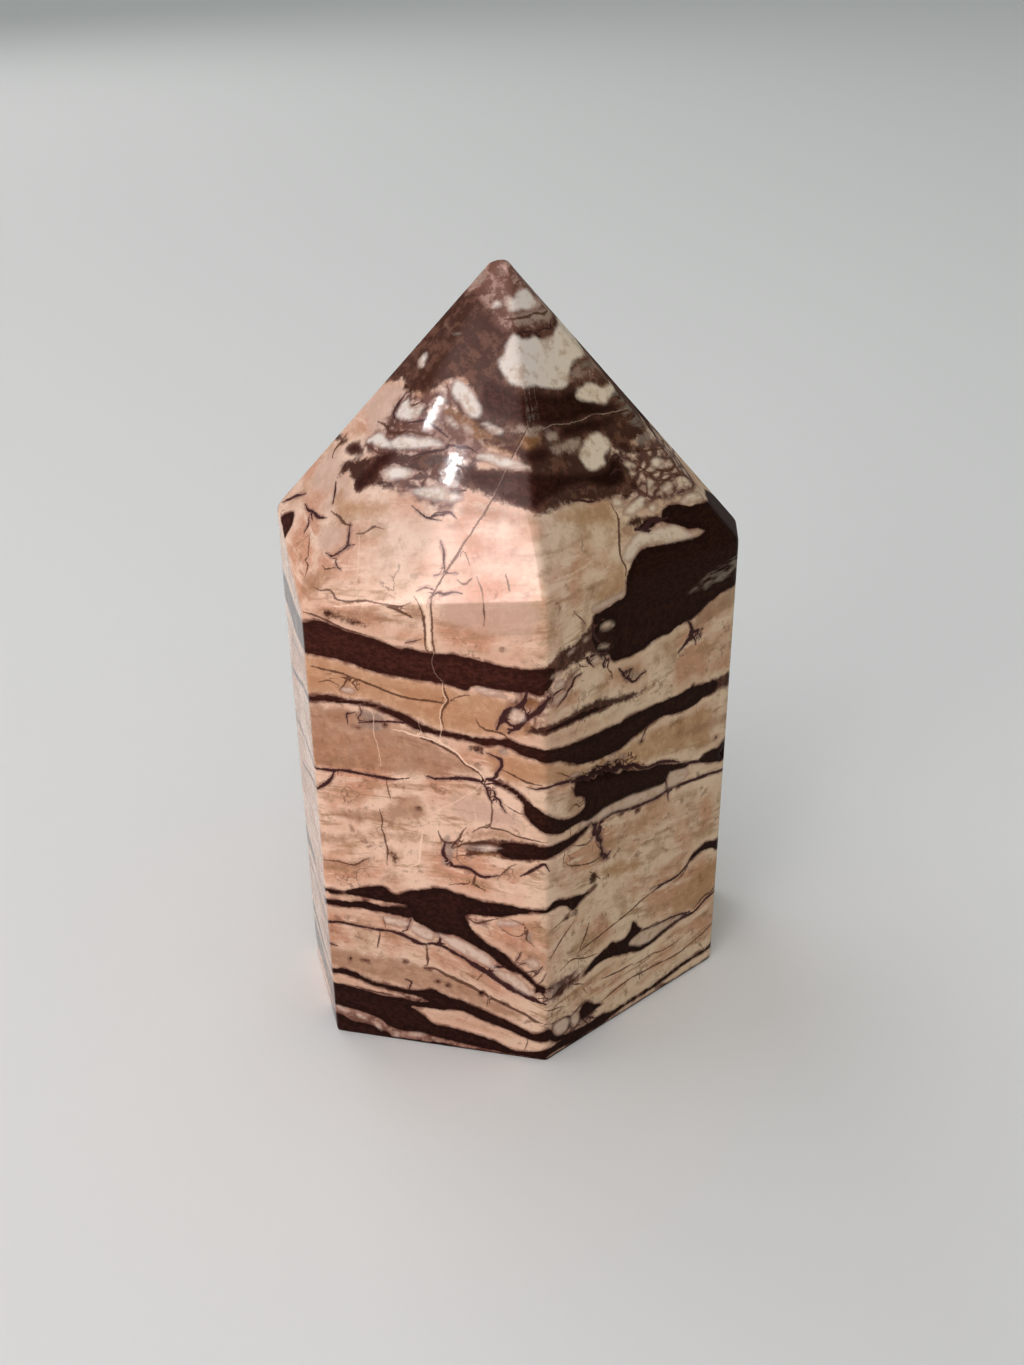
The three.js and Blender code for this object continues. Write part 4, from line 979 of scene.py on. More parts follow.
# The facets of the point.
POINT_LAYERS: Layers = {Tone.MARBLE: (
    ((8, 81.4, 11, 82, 15, 81.8, 19, 82.2, 22, 83.4, 25, 83.6, 28, 82.6, 32, 80.8, 36, 79.8),
     (8, 75.6, 12, 75.4, 16, 74.6, 20, 73.4, 24, 72.6, 28, 72, 31, 71.8, 34, 74, 36, 77.4)),
), Tone.BROWN: (
    ((32, 82.6, 34, 84.6, 36, 87.6, 38, 89.2, 41, 90.1, 45, 90.2, 52, 90.1, 60, 90, 68, 90.1, 76, 90.3,
      84, 90, 90, 88),
     (32, 79.4, 35, 78.8, 39, 78.1, 42, 77.5, 44.6, 74, 47, 72.6, 50, 72.3, 53, 72.1, 56, 71.6, 59, 71.3,
      61, 72.2, 62, 74.4, 64.6, 75.9, 68, 75.5, 72, 76, 78, 76.4, 84, 76.6, 90, 77)),
    ((31, 76.8, 33, 76, 35, 75.7, 41, 75.9, 44.6, 75.8, 50, 75.1, 55, 74.6, 60, 74, 62.5, 74.9, 65, 74.6),
     (31, 74.8, 33, 73.9, 37, 73.4, 41, 72.7, 44.6, 72.2, 50, 72.1, 56, 71.6, 60, 71.5, 62, 70.7, 65, 71.4)),
    ((16, 76.1, 19, 76.4, 22, 76.4, 24, 76.6, 26, 76.9, 29, 76.8, 31.5, 76.7),
     (16, 75, 18.5, 75.1, 21, 75.2, 24, 75, 26.5, 74.9, 28.5, 74.7, 31.5, 74.7)),
    ((26, 80.8, 29, 80.7, 32, 80, 35, 79.4), (26, 80.5, 29, 80.2, 32, 79.5, 35, 79.2)),
), Tone.DARK: (
    ((33.8, 83.6, 36, 83.9, 38, 83.5, 41, 83, 44, 82.6, 47, 82.7, 50, 82.5, 53, 82.1, 56, 81.8, 59, 81.9,
      62, 81.6, 64, 80.6, 68, 79.6, 72, 79.4),
     (33.8, 81.8, 36, 80.7, 40, 80.5, 44.6, 80.4, 48, 80, 50, 79.6, 54, 79.3, 58, 79.2, 62, 79.2, 66, 79,
      70, 78.9, 72, 79.1)),
    ((53, 78.4, 55, 78.9, 60, 78.8, 64, 78.6, 68, 78.4), (53, 78.2, 55, 77.9, 60, 77.9, 64, 77.7, 68, 78)),
    ((35.6, 78.45, 39, 78.2, 42, 77.9, 43.5, 77.7, 46, 77.7, 48, 77.6, 49.6, 77.2),
     (35.6, 78.35, 39, 77.9, 41.5, 77.7, 43.3, 77.1, 45, 76.7, 47, 76.5, 49.6, 76.9)),
    ((33, 75.7, 35, 75.5, 38, 75.6, 41, 75.7, 44.6, 75.7, 47, 75.4, 50, 75, 53, 74.5, 55, 74.2, 57, 74,
      59, 73.9, 61, 74, 62.5, 74.6, 64, 74.4),
     (33, 75, 35, 74.3, 37, 74, 39, 73.5, 41, 73.1, 43, 72.8, 44.6, 72.8, 47, 73.2, 50, 73.4, 53, 73.6,
      56, 73.2, 58, 72.6, 60, 72.2, 61.5, 72.2, 63, 72.6, 64, 73.6)),
    ((4.6, 74.9, 5.4, 75.4, 6.4, 75.6, 7.6, 75.4, 9, 75.3),
     (4.6, 74.8, 5.4, 74.6, 6.6, 74.6, 7.8, 74.9, 9, 75.1)),
), Tone.AMBER: (
    ((25.6, 80.9, 28, 80.9, 30, 80.5, 33, 79.9, 36, 79, 39, 78.4, 42, 78),
     (25.6, 80.4, 28, 80.1, 30.5, 79.3, 33, 78.7, 35, 78.2, 39, 77.4, 42, 77.2)),
), Tone.BUFF: (
    ((40, 79.5, 42, 79.8, 45, 79.9, 48, 79.6, 50, 79.3), (40, 79.1, 42, 79.3, 45, 79.1, 48, 79.2, 50, 79.2)),
    ((43, 90, 50, 90.1, 60, 90, 70, 90, 80, 90.2), (43, 89.2, 50, 88.9, 60, 88.9, 70, 89, 80, 89.4)),
    ((-6, 93.6, 0, 93.6, 8, 93.6, 16, 93.3), (-6, 91.9, 0, 92, 8, 92.4, 16, 92.8)),
), Tone.PALE: (
    ((16, 77.6, 18, 78, 22, 78, 26, 77.9, 27.6, 77.5),
     (16, 77, 18.5, 76.8, 22, 76.9, 25.5, 77.2, 27.6, 77.3)),
    ((8.4, 76.6, 10, 77.3, 12, 77.5, 14, 77.3, 17, 77.3),
     (8.4, 76.1, 10, 76.3, 13, 76.3, 15, 76.5, 17, 76.8)),
    ((34.6, 76.9, 37, 77.2, 40, 76.9, 44.4, 76.4), (34.6, 76.7, 37, 76.5, 40, 76.1, 44.4, 76.1)),
    ((11.4, 80.6, 13, 81.2, 16, 80.7, 19.6, 80.9), (11.4, 79.6, 13, 79.3, 16, 79.4, 19.6, 79.7)),
    ((38.5, 91.6, 42, 91.8, 46, 91.6, 52, 91.9, 60, 92.2, 72, 92.2),
     (38.5, 90.8, 42, 90.4, 46, 90.3, 52, 90.3, 60, 90.2, 72, 90.3)),
    ((51.4, 61.9, 53, 62, 55, 62.1, 56.3, 62.3), (51.4, 61.2, 53, 61.1, 55, 61.5, 56.3, 61.7)),
), Tone.FILM: (
    ((64, 83.6, 68, 84.4, 72, 84.2, 76, 84.2), (64, 83.2, 68, 83, 72, 83.2, 76, 83.6)),
    ((71.6, 79.6, 73, 80.6, 75, 80.8, 77, 80.2), (71.6, 77.6, 73, 76.6, 75, 76.4, 77, 77)),
    ((6, 88.6, 11, 88.4, 16, 88.2, 20, 88), (6, 88.3, 11, 88.1, 16, 87.8, 20, 87.7)),
), Tone.MAUVE: (
    ((-35, 96.5, 0, 96.5, 45, 96.5, 90, 96.5, 125, 96.5),
     (-35, 91.6, 0, 91.4, 14, 91.6, 28, 90.6, 36, 88.6, 45, 88.6, 60, 88.3, 75, 88.8, 90, 90, 125, 91.9)),
), Tone.TAN: (
    ((47.5, 71.4, 50, 71.6, 54, 71.2, 58.3, 71), (47.5, 70.9, 50, 70.6, 54, 69.6, 58.3, 68.8)),
    ((10, 71.4, 13, 71, 17, 71.4, 22, 71.8), (10, 69.9, 13, 69.6, 17, 70.2, 22, 70.6)),
), Tone.SHADE: (
    ((33, 72.2, 37, 72.3, 41, 72.2, 44.6, 72.2), (33, 71.6, 37, 71.3, 41, 71.1, 44.6, 71.6)),
    ((31.6, 70.7, 33.4, 70.7, 35, 70.6), (31.6, 70.1, 33.4, 70.2, 35, 70.4)),
)}
POINT_PATCHES: Outlines = {Tone.ROSE: (
    (-1.5, 80.6, 2, 81.4, 6, 82, 8.8, 81.9, 9.8, 80.8, 9.6, 79.4, 10.2, 78.2, 8.4, 77.2, 5.6, 77.2,
     2.6, 78.2, -1.5, 78.8),
    (1, 73.4, 3, 74.4, 6.4, 73.2, 8.6, 71.6, 6.4, 70.4, 3, 70.6),
    (8.6, 72.8, 11.6, 72, 13.4, 70.6, 11.6, 69.6, 9.6, 69.4, 8.2, 70.8),
    (12, 67.8, 16.5, 68.8, 17, 67.2, 14.8, 66.2, 12.4, 66.6),
    (33, 63.4, 38, 63.9, 43, 64.2, 43.6, 61.6, 42, 60, 37, 60.4, 33.4, 61.2),
    (33.5, 38.6, 37.4, 38.4, 40.8, 36.9, 41.6, 35.6, 38, 35.4, 34, 36.2),
), Tone.MARBLE: (
    (60.5, 74.6, 61.5, 72.8, 60.5, 71.2, 63.5, 69.8, 68, 69.2, 72, 68.9, 77, 68.9, 84, 70.2, 90, 73,
     84, 75.6, 78, 76.2, 72, 75.8, 68, 75.6, 65, 76.4),
), Tone.BROWN: (
    (-6, 81.2, -2, 81.3, 3, 81.9, 5, 82.4, 7, 82.3, 9, 81.9, 12, 81.9, 16, 82, 19, 82, 21, 82.9, 23, 83.5,
     25, 83.9, 28, 83.6, 31, 82.6, 33, 81.8, 34.6, 80.8, 36, 80.3, 40, 80.2, 44.6, 80, 49, 79.4, 56, 79.4,
     62, 79.4, 66, 80, 63, 81.2, 61.5, 82.2, 59, 82.2, 56, 82.4, 52, 82.8, 48, 83.2, 44.6, 83.3, 41, 83.8,
     38.5, 84.7, 37.2, 85.4, 38.5, 86.6, 40.5, 87.8, 43, 88.5, 40, 90, 36, 91, 30, 91.6, 24, 92.1, 17, 92.4,
     9, 92.2, 0, 91.7, -6, 91.4, -14, 90, -20, 87, -14, 83),
    (50, 79, 56, 79, 64, 78.9, 70, 79.4, 73.2, 80.2, 73.4, 79.2, 72.4, 77.8, 71, 76.3, 69, 75.4, 70, 74.6,
     67, 74.6, 65, 75.6, 64.4, 76.9, 62, 77.6, 58, 77.5, 54, 78),
    (6, 73.5, 7.4, 74.1, 9, 74.3, 11, 74.9, 13, 75.3, 15, 75.7, 16.8, 76, 17.4, 75.2, 17.6, 74.4, 18.4, 73.9,
     20, 73.6, 22, 73.5, 20, 73.2, 18, 73.2, 16.5, 73, 15.4, 72.4, 14.5, 72.1, 13.2, 72.4, 12, 72.7,
     10.5, 72.8, 9, 73.1, 7.9, 72.6, 7.4, 72.2, 6.9, 72.8),
    (24.4, 79.4, 26, 79.3, 28, 79.1, 29.2, 78.6, 30.4, 78, 29.5, 77.6, 28, 77.7, 26.5, 78.2, 25, 78.6),
), Tone.DARK: (
    (12.4, 72.9, 13.4, 74.2, 15, 75.4, 16.7, 76, 16.6, 74.8, 16, 73.4, 14.6, 72.3, 13.2, 72.5),
    (2.6, 66.6, 3.8, 67.3, 5, 66.6, 5.5, 65.4, 5.4, 64.9, 4, 65.6, 2.4, 66.2),
), Tone.AMBER: (
    (42.6, 78.6, 44, 79.2, 46, 79.2, 47.6, 78.8, 47, 78.1, 45, 77.8, 43.4, 78),
), Tone.MAUVE: (
    (21.5, 81.4, 24, 80.9, 27, 80.4, 31, 79.6, 34, 78.6, 35.6, 77.4, 34, 76.4, 30, 76.8, 27, 77.2, 24, 78.2,
     22, 79.6),
    (63, 82.7, 66, 83.7, 70, 84.4, 76, 84.8, 84, 84.8, 84, 82.2, 76, 82, 70, 82.4, 66, 82.3),
), Tone.PALE: (
    (37, 85.3, 38.5, 86.3, 40, 87.3, 41.5, 88, 43, 88.3, 45.5, 88.1, 48, 87.7, 52, 87.7, 55, 87.7, 58, 87.3,
     62, 87.2, 66, 87.3, 70, 87.8, 75, 88.2, 82, 88.4, 88, 87.6, 90, 86.2, 84, 85, 78, 84.7, 71, 84.6,
     68, 84.3, 65, 83.8, 62, 82.9, 59.5, 82.3, 56, 82.5, 52, 82.9, 48, 83.3, 44.6, 83.4, 41, 83.8, 39, 84.4),
    (24.6, 83, 25.5, 83.6, 27, 83.5, 29, 83.1, 31, 82.6, 32.3, 82.1, 33.5, 81.6, 34.2, 80.9, 33.6, 80.3,
     32, 80.3, 30.5, 80.6, 29, 81.3, 27.5, 81.7, 26, 82.1, 25, 82.4),
    (17.8, 74.6, 19.5, 75.1, 21.5, 75.1, 23.5, 74.8, 22.8, 74.2, 21, 73.9, 19, 74),
    (24.4, 73, 26, 73.4, 28.5, 73.7, 30.5, 73.4, 32, 73.2, 33.4, 72.9, 31.5, 72.5, 29, 72.4, 26.5, 72.6),
    (55.9, 76, 57, 76.6, 59, 77.1, 61, 77.5, 63, 77.3, 64.4, 76.7, 64.6, 76.1, 63.6, 75.7, 62, 75.3,
     61.2, 74.9, 60.8, 74.4, 59, 74.2, 57.5, 74.3, 56.2, 74.9),
    (61.6, 81.2, 63.5, 81.8, 67, 82.1, 70, 81.9, 72, 81.4, 75, 81.5, 79, 81.3, 80, 80.8, 75, 80.6, 72, 80.2,
     69, 79.8, 66, 80.3, 64, 80.6, 62.4, 80.8),
    (56.9, 65.7, 58, 66.4, 60, 67.1, 61.5, 67.3, 62.3, 66.9, 64, 67, 66, 66.8, 67.2, 66.6, 68, 66.1,
     68.8, 65.5, 70.7, 65.2, 69, 64.9, 67, 65.1, 64.5, 65.4, 62, 65.9, 60, 65.8, 58.5, 65.3, 57.2, 65.2),
), Tone.BUFF: (
    (49.5, 77.3, 51, 77.6, 53, 77.5, 54.5, 77.9, 56.5, 77.6, 57.4, 77, 56.4, 76.4, 54.6, 76.5, 53, 76.9,
     51, 76.7),
), Tone.TAN: (
    (52, 62.2, 52.4, 63.2, 53.6, 64, 55.4, 64.9, 56.6, 65.2, 56.4, 63.6, 56.2, 62.4, 54, 62.1),
), Tone.SHADE: (
    (13.9, 62.7, 14.2, 63.7, 15, 64.1, 16.5, 64.1, 17.5, 63.6, 17.5, 62.7, 16.5, 62.2, 15, 62.2),
)}
POINT_PEBBLES: Outlines = {Tone.PALE: (
    (8.3, 84.6, 4.6, 1.3, -6), (37.3, 79.45, 5, 0.8, -7), (27.8, 79.7, 3.8, 0.5, -14),
    (31.6, 79.2, 2.6, 0.55, -14), (30.8, 74.25, 3.6, 0.7, -4), (33.6, 90.8, 5.5, 0.7, 2),
    (71.4, 72.9, 3.2, 0.9, 6), (67.4, 71.2, 1.9, 0.8, 20), (65.8, 73.6, 2, 0.6, -12),
    (70.4, 70.4, 3, 0.6, 4), (62.6, 69.7, 4.4, 1, 8), (59.9, 70.6, 2, 0.8, -8), (65.6, 69, 1.9, 0.6, 8),
    (72.8, 68.5, 4.4, 0.8),
), Tone.GREY: (
    (9, 74.7, 2.6, 0.8, 14), (65.9, 76.4, 2.6, 1.3, -10), (72.6, 75.5, 6, 0.9, 2), (55, 88.6, 12, 0.55, -1),
    (65.5, 88.2, 5, 0.5, 1),
), Tone.BUFF: (
    (51.5, 78.4, 4.2, 0.6), (67.5, 83.3, 4, 0.8, 4),
), Tone.FILM: (
    (45.5, 81.6, 0.5, 2.6, 4), (46.8, 81.5, 0.4, 2.4, 2), (48, 81.3, 0.4, 2.2),
), Tone.SHADE: (
    (59.3, 67.9, 3, 1.4, -10),
), Tone.BROWN: (
    (62, 68.3, 5, 0.9, -4),
), Tone.DARK: (
    (63.4, 67.75, 4, 0.8, 4),
)}
POINT_LINES: Threads = {Thread.BROWN: (
    (0.24, 44.4, 79.7, 42.2, 78, 40.2, 76, 38.6, 73.9, 37.6, 72.7, 36.1, 70.9, 35.3, 69.8, 34.6, 69,
     33.4, 67.1, 32.6, 65.8, 32, 64.6, 31.7, 63.8),
    (0.36, 34.6, 65.4, 35.2, 65.2, 35.8, 65.6), (0.18, 34.9, 68, 35.5, 67.2),
    (0.16, 36.8, 65.8, 37.3, 65, 37.6, 64), (0.3, 40.2, 66.3, 40.5, 65.4),
    (0.3, 12.6, 80.9, 14.4, 80.8, 16, 80.8, 18, 81.3),
    (0.3, 8, 78.2, 11, 78.2, 14, 77.9, 18, 78.4, 24, 78.3), (0.2, 9, 76, 12, 75.9, 15, 76, 17, 76.4),
    (0.24, 19.1, 68.6, 20, 68.8, 21, 69.4, 22.2, 69.3), (0.24, 16.4, 65.1, 17.2, 65, 18, 65.2),
    (0.3, 11.4, 69.4, 13.5, 69.4, 15.5, 69.2, 17, 69.3), (0.3, 2, 75.6, 2.2, 74.8, 2.2, 74, 2.8, 73.5),
    (0.4, -1.5, 67.4, 0, 67, 0.5, 66.6), (0.26, 12.2, 64.5, 13.2, 64.3, 13.8, 63.6),
    (0.18, 10, 66.4, 11, 65.7, 12, 65), (0.3, 40, 89.6, 46, 89.7, 54, 89.6, 62, 89.7, 70, 89.5, 78, 89.8),
    (0.2, 50, 92.4, 55, 92.7, 60, 92.9, 72, 93), (0.2, 31, 82, 31.6, 81.6, 32.4, 81.6),
    (0.26, 58.6, 70.5, 58.8, 69.6, 58.5, 68.8, 57.8, 67.8, 57, 66.6, 56.7, 65.6, 56.9, 64.8, 56.6, 64.2),
    (0.26, 69, 75, 70.5, 74.4, 72.5, 74.2, 75.5, 73.9),
    (0.2, 64.8, 70.8, 65.8, 70.4, 66.4, 71, 67.8, 71.8, 69.2, 71.3, 71.4, 71, 72.6, 71.3, 75.5, 70.6),
    (0.2, 66.6, 72.9, 67.6, 73, 68.6, 72.2, 70.6, 72.2, 72.6, 71.7, 74.6, 72.1),
), Thread.PALE: (
    (0.07, 44.6, 79.6, 42, 77.6, 40, 75.8, 38.4, 73.8, 37.4, 72.7, 35.9, 70.9),
    (0.03, 24, 69.4, 25, 68.5, 26.5, 67.2, 28, 65.6, 29.5, 64, 30.2, 63.3),
    (0.02, 19.5, 68.3, 21, 66, 22, 64, 22.8, 62.9), (0.01, 44.9, 79.9, 45, 81.4, 45.2, 83.3),
    (0.02, 46.6, 80.2, 46.7, 81.6, 46.8, 83.2), (0.01, 48.4, 80.6, 48.5, 81.6, 48.6, 82.8),
    (0.09, 49, 79.3, 52, 79.4, 56, 79.1, 60, 79, 64, 79.2, 67, 78.9, 70, 78.8, 74, 78.7),
), Thread.DARK: (
    (0.2, 31.3, 68.7, 32, 67.8, 32.3, 66.9, 32.6, 66.1), (0.2, 31.6, 65.7, 32.5, 66, 34, 66.1),
    (0.22, 29.9, 64.2, 30.6, 64.5, 31.5, 64.4),
    (0.3, 31.6, 63.8, 32.2, 64.2, 33, 64.1, 34, 64.4, 34.8, 64.4),
    (0.2, 25.8, 71.6, 27, 71.2, 28.5, 70.8, 30.5, 70.7),
    (0.34, 29.8, 71.3, 31, 71.4, 31.8, 71.5, 32.5, 71.2), (0.34, 28.7, 73, 29.8, 73.2, 30.8, 73.2),
    (0.44, 31.5, 73.4, 32.5, 73.5, 33.1, 73.6), (0.3, 22, 76.2, 24, 76.6, 26, 76.9, 28, 77.2),
    (0.24, 31.4, 76.3, 32.6, 75.8, 34, 75.6), (0.3, 29, 77.6, 31, 77.5, 33, 77.5, 34.2, 77.2),
    (0.36, 18.2, 79.3, 20, 79.5, 21.6, 79.7), (0.24, 21.4, 79.6, 23.5, 79.3, 25.4, 78.9, 27.4, 78.4),
    (0.3, 10.6, 81.4, 10.3, 80.5, 10.5, 79.6, 12, 79.2), (0.3, 7.9, 71.6, 9, 71, 10, 70.2),
    (0.22, 17, 69.3, 17.6, 68.6, 18, 68, 18.3, 67.4, 17.8, 66.8, 17, 66.3, 15.5, 66.2),
    (0.24, 18.2, 67.4, 19, 67.5), (0.26, 17.7, 66.1, 18.2, 65.5, 18.9, 65.2),
    (0.34, 5, 68.5, 6, 68.3, 7.5, 68.4, 9, 68.3, 10.5, 68.6), (0.34, 0.8, 67.6, 2, 68.6, 3.2, 69.2),
    (0.34, 7.4, 67.7, 8.1, 67.3, 8.3, 66.7), (0.3, 47, 88.35, 50, 88.3, 53, 88.2, 56, 87.9, 57.5, 87.7),
    (0.26, 61, 88.1, 64, 88.1, 67, 88, 69.5, 88.4),
    (0.6, 61, 67.6, 62, 67.4, 63, 67.6, 64, 67.9, 65, 67.7, 66.3, 67.6), (0.3, 62.3, 67.3, 62.5, 66.5),
    (0.26, 52, 72.2, 53.5, 72, 55, 71.6, 56.5, 71.5), (0.34, 63.6, 74.9, 64.4, 74.9, 64.6, 74.4),
    (0.4, 61.4, 73.4, 62.6, 73.6, 63.4, 73.4), (0.26, 53, 73.2, 54.4, 73.2, 55.4, 73.4, 55, 72.9),
)}

# The walls and facets at the back.
HIDDEN_LAYERS: Layers = {Tone.DARK: (
    ((84, 64.2, 90, 61.4, 97, 60.6, 104, 60, 112, 59.2, 120, 59.6, 128, 60.4, 136, 60, 145, 59, 153, 58.6,
      160, 58.4),
     (84, 58.8, 90, 57.8, 97, 57.4, 104, 55.6, 112, 54.4, 120, 54.8, 128, 56.4, 136, 57, 145, 56.4,
      153, 55.4, 160, 55.4)),
    ((98, 49, 104, 50.2, 110, 50, 118, 49, 126, 48.8, 134, 49.6, 141, 50.6, 147, 50.2, 152, 49.2),
     (98, 48.8, 104, 48.6, 110, 47.8, 118, 47.4, 126, 47.6, 134, 47.8, 141, 48.6, 147, 48.9, 152, 48.9)),
    ((118, 37.4, 124, 38.2, 130, 38.6, 137, 37.6, 144, 35.6, 150, 34.6, 156, 34),
     (118, 37.1, 124, 36.2, 130, 35.2, 137, 33.8, 144, 33, 150, 33.2, 156, 33.8)),
    ((88, 27.6, 94, 28.2, 101, 28, 108, 26.8, 115, 26.2, 121, 26.4, 128, 25.2, 134, 24.6),
     (88, 27.4, 94, 26.8, 101, 25.2, 108, 23.6, 115, 23.4, 121, 24.4, 128, 24.4, 134, 24.4)),
    ((128, 19.6, 134, 20.8, 140, 22, 147, 22.8, 154, 22.6, 161, 22, 168, 21.4),
     (128, 19.4, 134, 18.8, 140, 19, 147, 20, 154, 20.6, 161, 20.6, 168, 20.2)),
    ((92, 13.2, 99, 14.4, 106, 14.8, 113, 14, 120, 12.8, 128, 12.2, 136, 12.4, 144, 11.6, 152, 10.6,
      160, 9.6, 168, 9.2, 175, 9.6),
     (92, 13, 99, 12.6, 106, 11.8, 113, 10.8, 120, 10.2, 128, 10.4, 136, 11, 144, 10.2, 152, 9.2, 160, 8.4,
      168, 8.2, 175, 9)),
    ((110, 3.8, 116, 5, 123, 5.6, 130, 5.4, 138, 4.6, 146, 4.8, 154, 5.8, 162, 6.6, 170, 6.8, 176, 7.6),
     (110, 3.6, 116, 2.6, 123, 1.8, 130, 1.6, 138, 2, 146, 2.6, 154, 3, 162, 3, 170, 3.2, 176, 4.6)),
    ((84, 76.4, 92, 76.8, 101, 76, 110, 75.4), (84, 75.4, 92, 74.6, 101, 74.2, 110, 75)),
    ((86, 83, 94, 83, 102, 82, 112, 81.6), (86, 81.6, 94, 81, 102, 80.9, 112, 81.2)),
), Tone.BROWN: (
    ((78, 75.6, 86, 77.2, 96, 77.6, 106, 76.6, 116, 76.4, 126, 77.2, 136, 77, 146, 76.2, 156, 75.6,
      163, 75.4),
     (78, 74.6, 86, 74.2, 96, 73.4, 106, 72.8, 116, 73.6, 126, 74, 136, 73.4, 146, 73.8, 156, 74.6,
      163, 74.9)),
    ((72, 81.8, 80, 83.2, 90, 84, 100, 83.2, 110, 82.6, 120, 83.4, 130, 84, 142, 83.6, 152, 83, 160, 83.2),
     (72, 80.8, 80, 80.4, 90, 80.6, 100, 80, 110, 79.6, 120, 80.2, 130, 81.2, 142, 81, 152, 80.9,
      160, 81.4)),
), Tone.TAN: (
    ((84, 56, 96, 55.6, 108, 53, 120, 53.4, 134, 55), (84, 50.2, 96, 51.4, 108, 51, 120, 50, 134, 51)),
    ((92, 34, 104, 36, 116, 36, 128, 34), (92, 31, 104, 31, 116, 30, 128, 31)),
    ((134, 32, 146, 31.6, 156, 32, 166, 32), (134, 28, 146, 27, 156, 28, 166, 29)),
), Tone.SHADE: (
    ((80, 27, 92, 25, 98, 23), (80, 23.4, 92, 23.2, 98, 22)),
    ((110, 45.6, 124, 46, 136, 46.6), (110, 43, 124, 41.6, 136, 43)),
    ((138, 70, 150, 70.6, 160, 70), (138, 66.6, 150, 66, 160, 66.6)),
    ((100, 19.6, 112, 19.8, 124, 18.6), (100, 16.4, 112, 16, 124, 15.6)),
)}
HIDDEN_PATCHES: Outlines = {Tone.MARBLE: (
    (92, 71.6, 99, 73.6, 108, 74, 113, 72.4, 110, 69.8, 102, 68.6, 95, 69),
    (128, 77, 138, 80.6, 150, 80.8, 158, 79, 154, 76.4, 142, 75.8, 133, 75.6),
    (96, 42, 101, 45.6, 108, 47.4, 114, 46.2, 111, 41.6, 104, 38.6, 98, 38.4),
    (126, 23, 132, 25.8, 140, 27, 146, 25.4, 142, 22.6, 134, 21.4),
    (80, 10.4, 86, 12.6, 93, 12, 96, 8.6, 90, 6.6, 83, 7.4),
), Tone.DARK: (
    (131, 37.4, 136, 38.6, 139, 41.6, 141, 45.4, 146, 47.8, 149, 48.4, 146, 45.6, 144, 41, 142, 37,
     138, 34.6, 133, 34.6),
    (100, 57, 104, 55.4, 107, 52.6, 112, 50.6, 118, 49.6, 115, 52.4, 111, 54.6, 107, 57.6),
    (84, 31, 88, 28.4, 93, 25.2, 98, 23.8, 95, 27.2, 91, 30, 87, 33.4),
), Tone.PALE: (
    (96, 87.6, 102, 88.8, 110, 88.9, 117, 88, 120, 86.6, 113, 85.6, 104, 85.6, 98, 86.4),
), Tone.BROWN: (
    (92, 85.4, 98, 88.8, 106, 90.4, 118, 90.4, 130, 89.6, 140, 90.4, 150, 91.4, 160, 91.4, 158, 87,
     148, 85.2, 134, 84.8, 118, 85, 104, 84.6),
)}
HIDDEN_PEBBLES: Outlines = {Tone.PALE: (
    (140, 87.2, 8, 1.2, 6), (92, 78.8, 6, 1.1, 2), (122, 78.6, 8, 1.2, 3), (146, 79.2, 7, 1.1),
    (98, 70.6, 7, 1.4, 4), (86, 51.6, 6, 1.8, -6), (132, 43.6, 9, 1.8, 3), (104, 20.6, 8, 1.5, -5),
    (148, 15.2, 8, 1.7, 4),
), Tone.GREY: (
    (116, 64.6, 6, 1.5, 4), (143, 45.4, 6, 1.3, -6),
)}
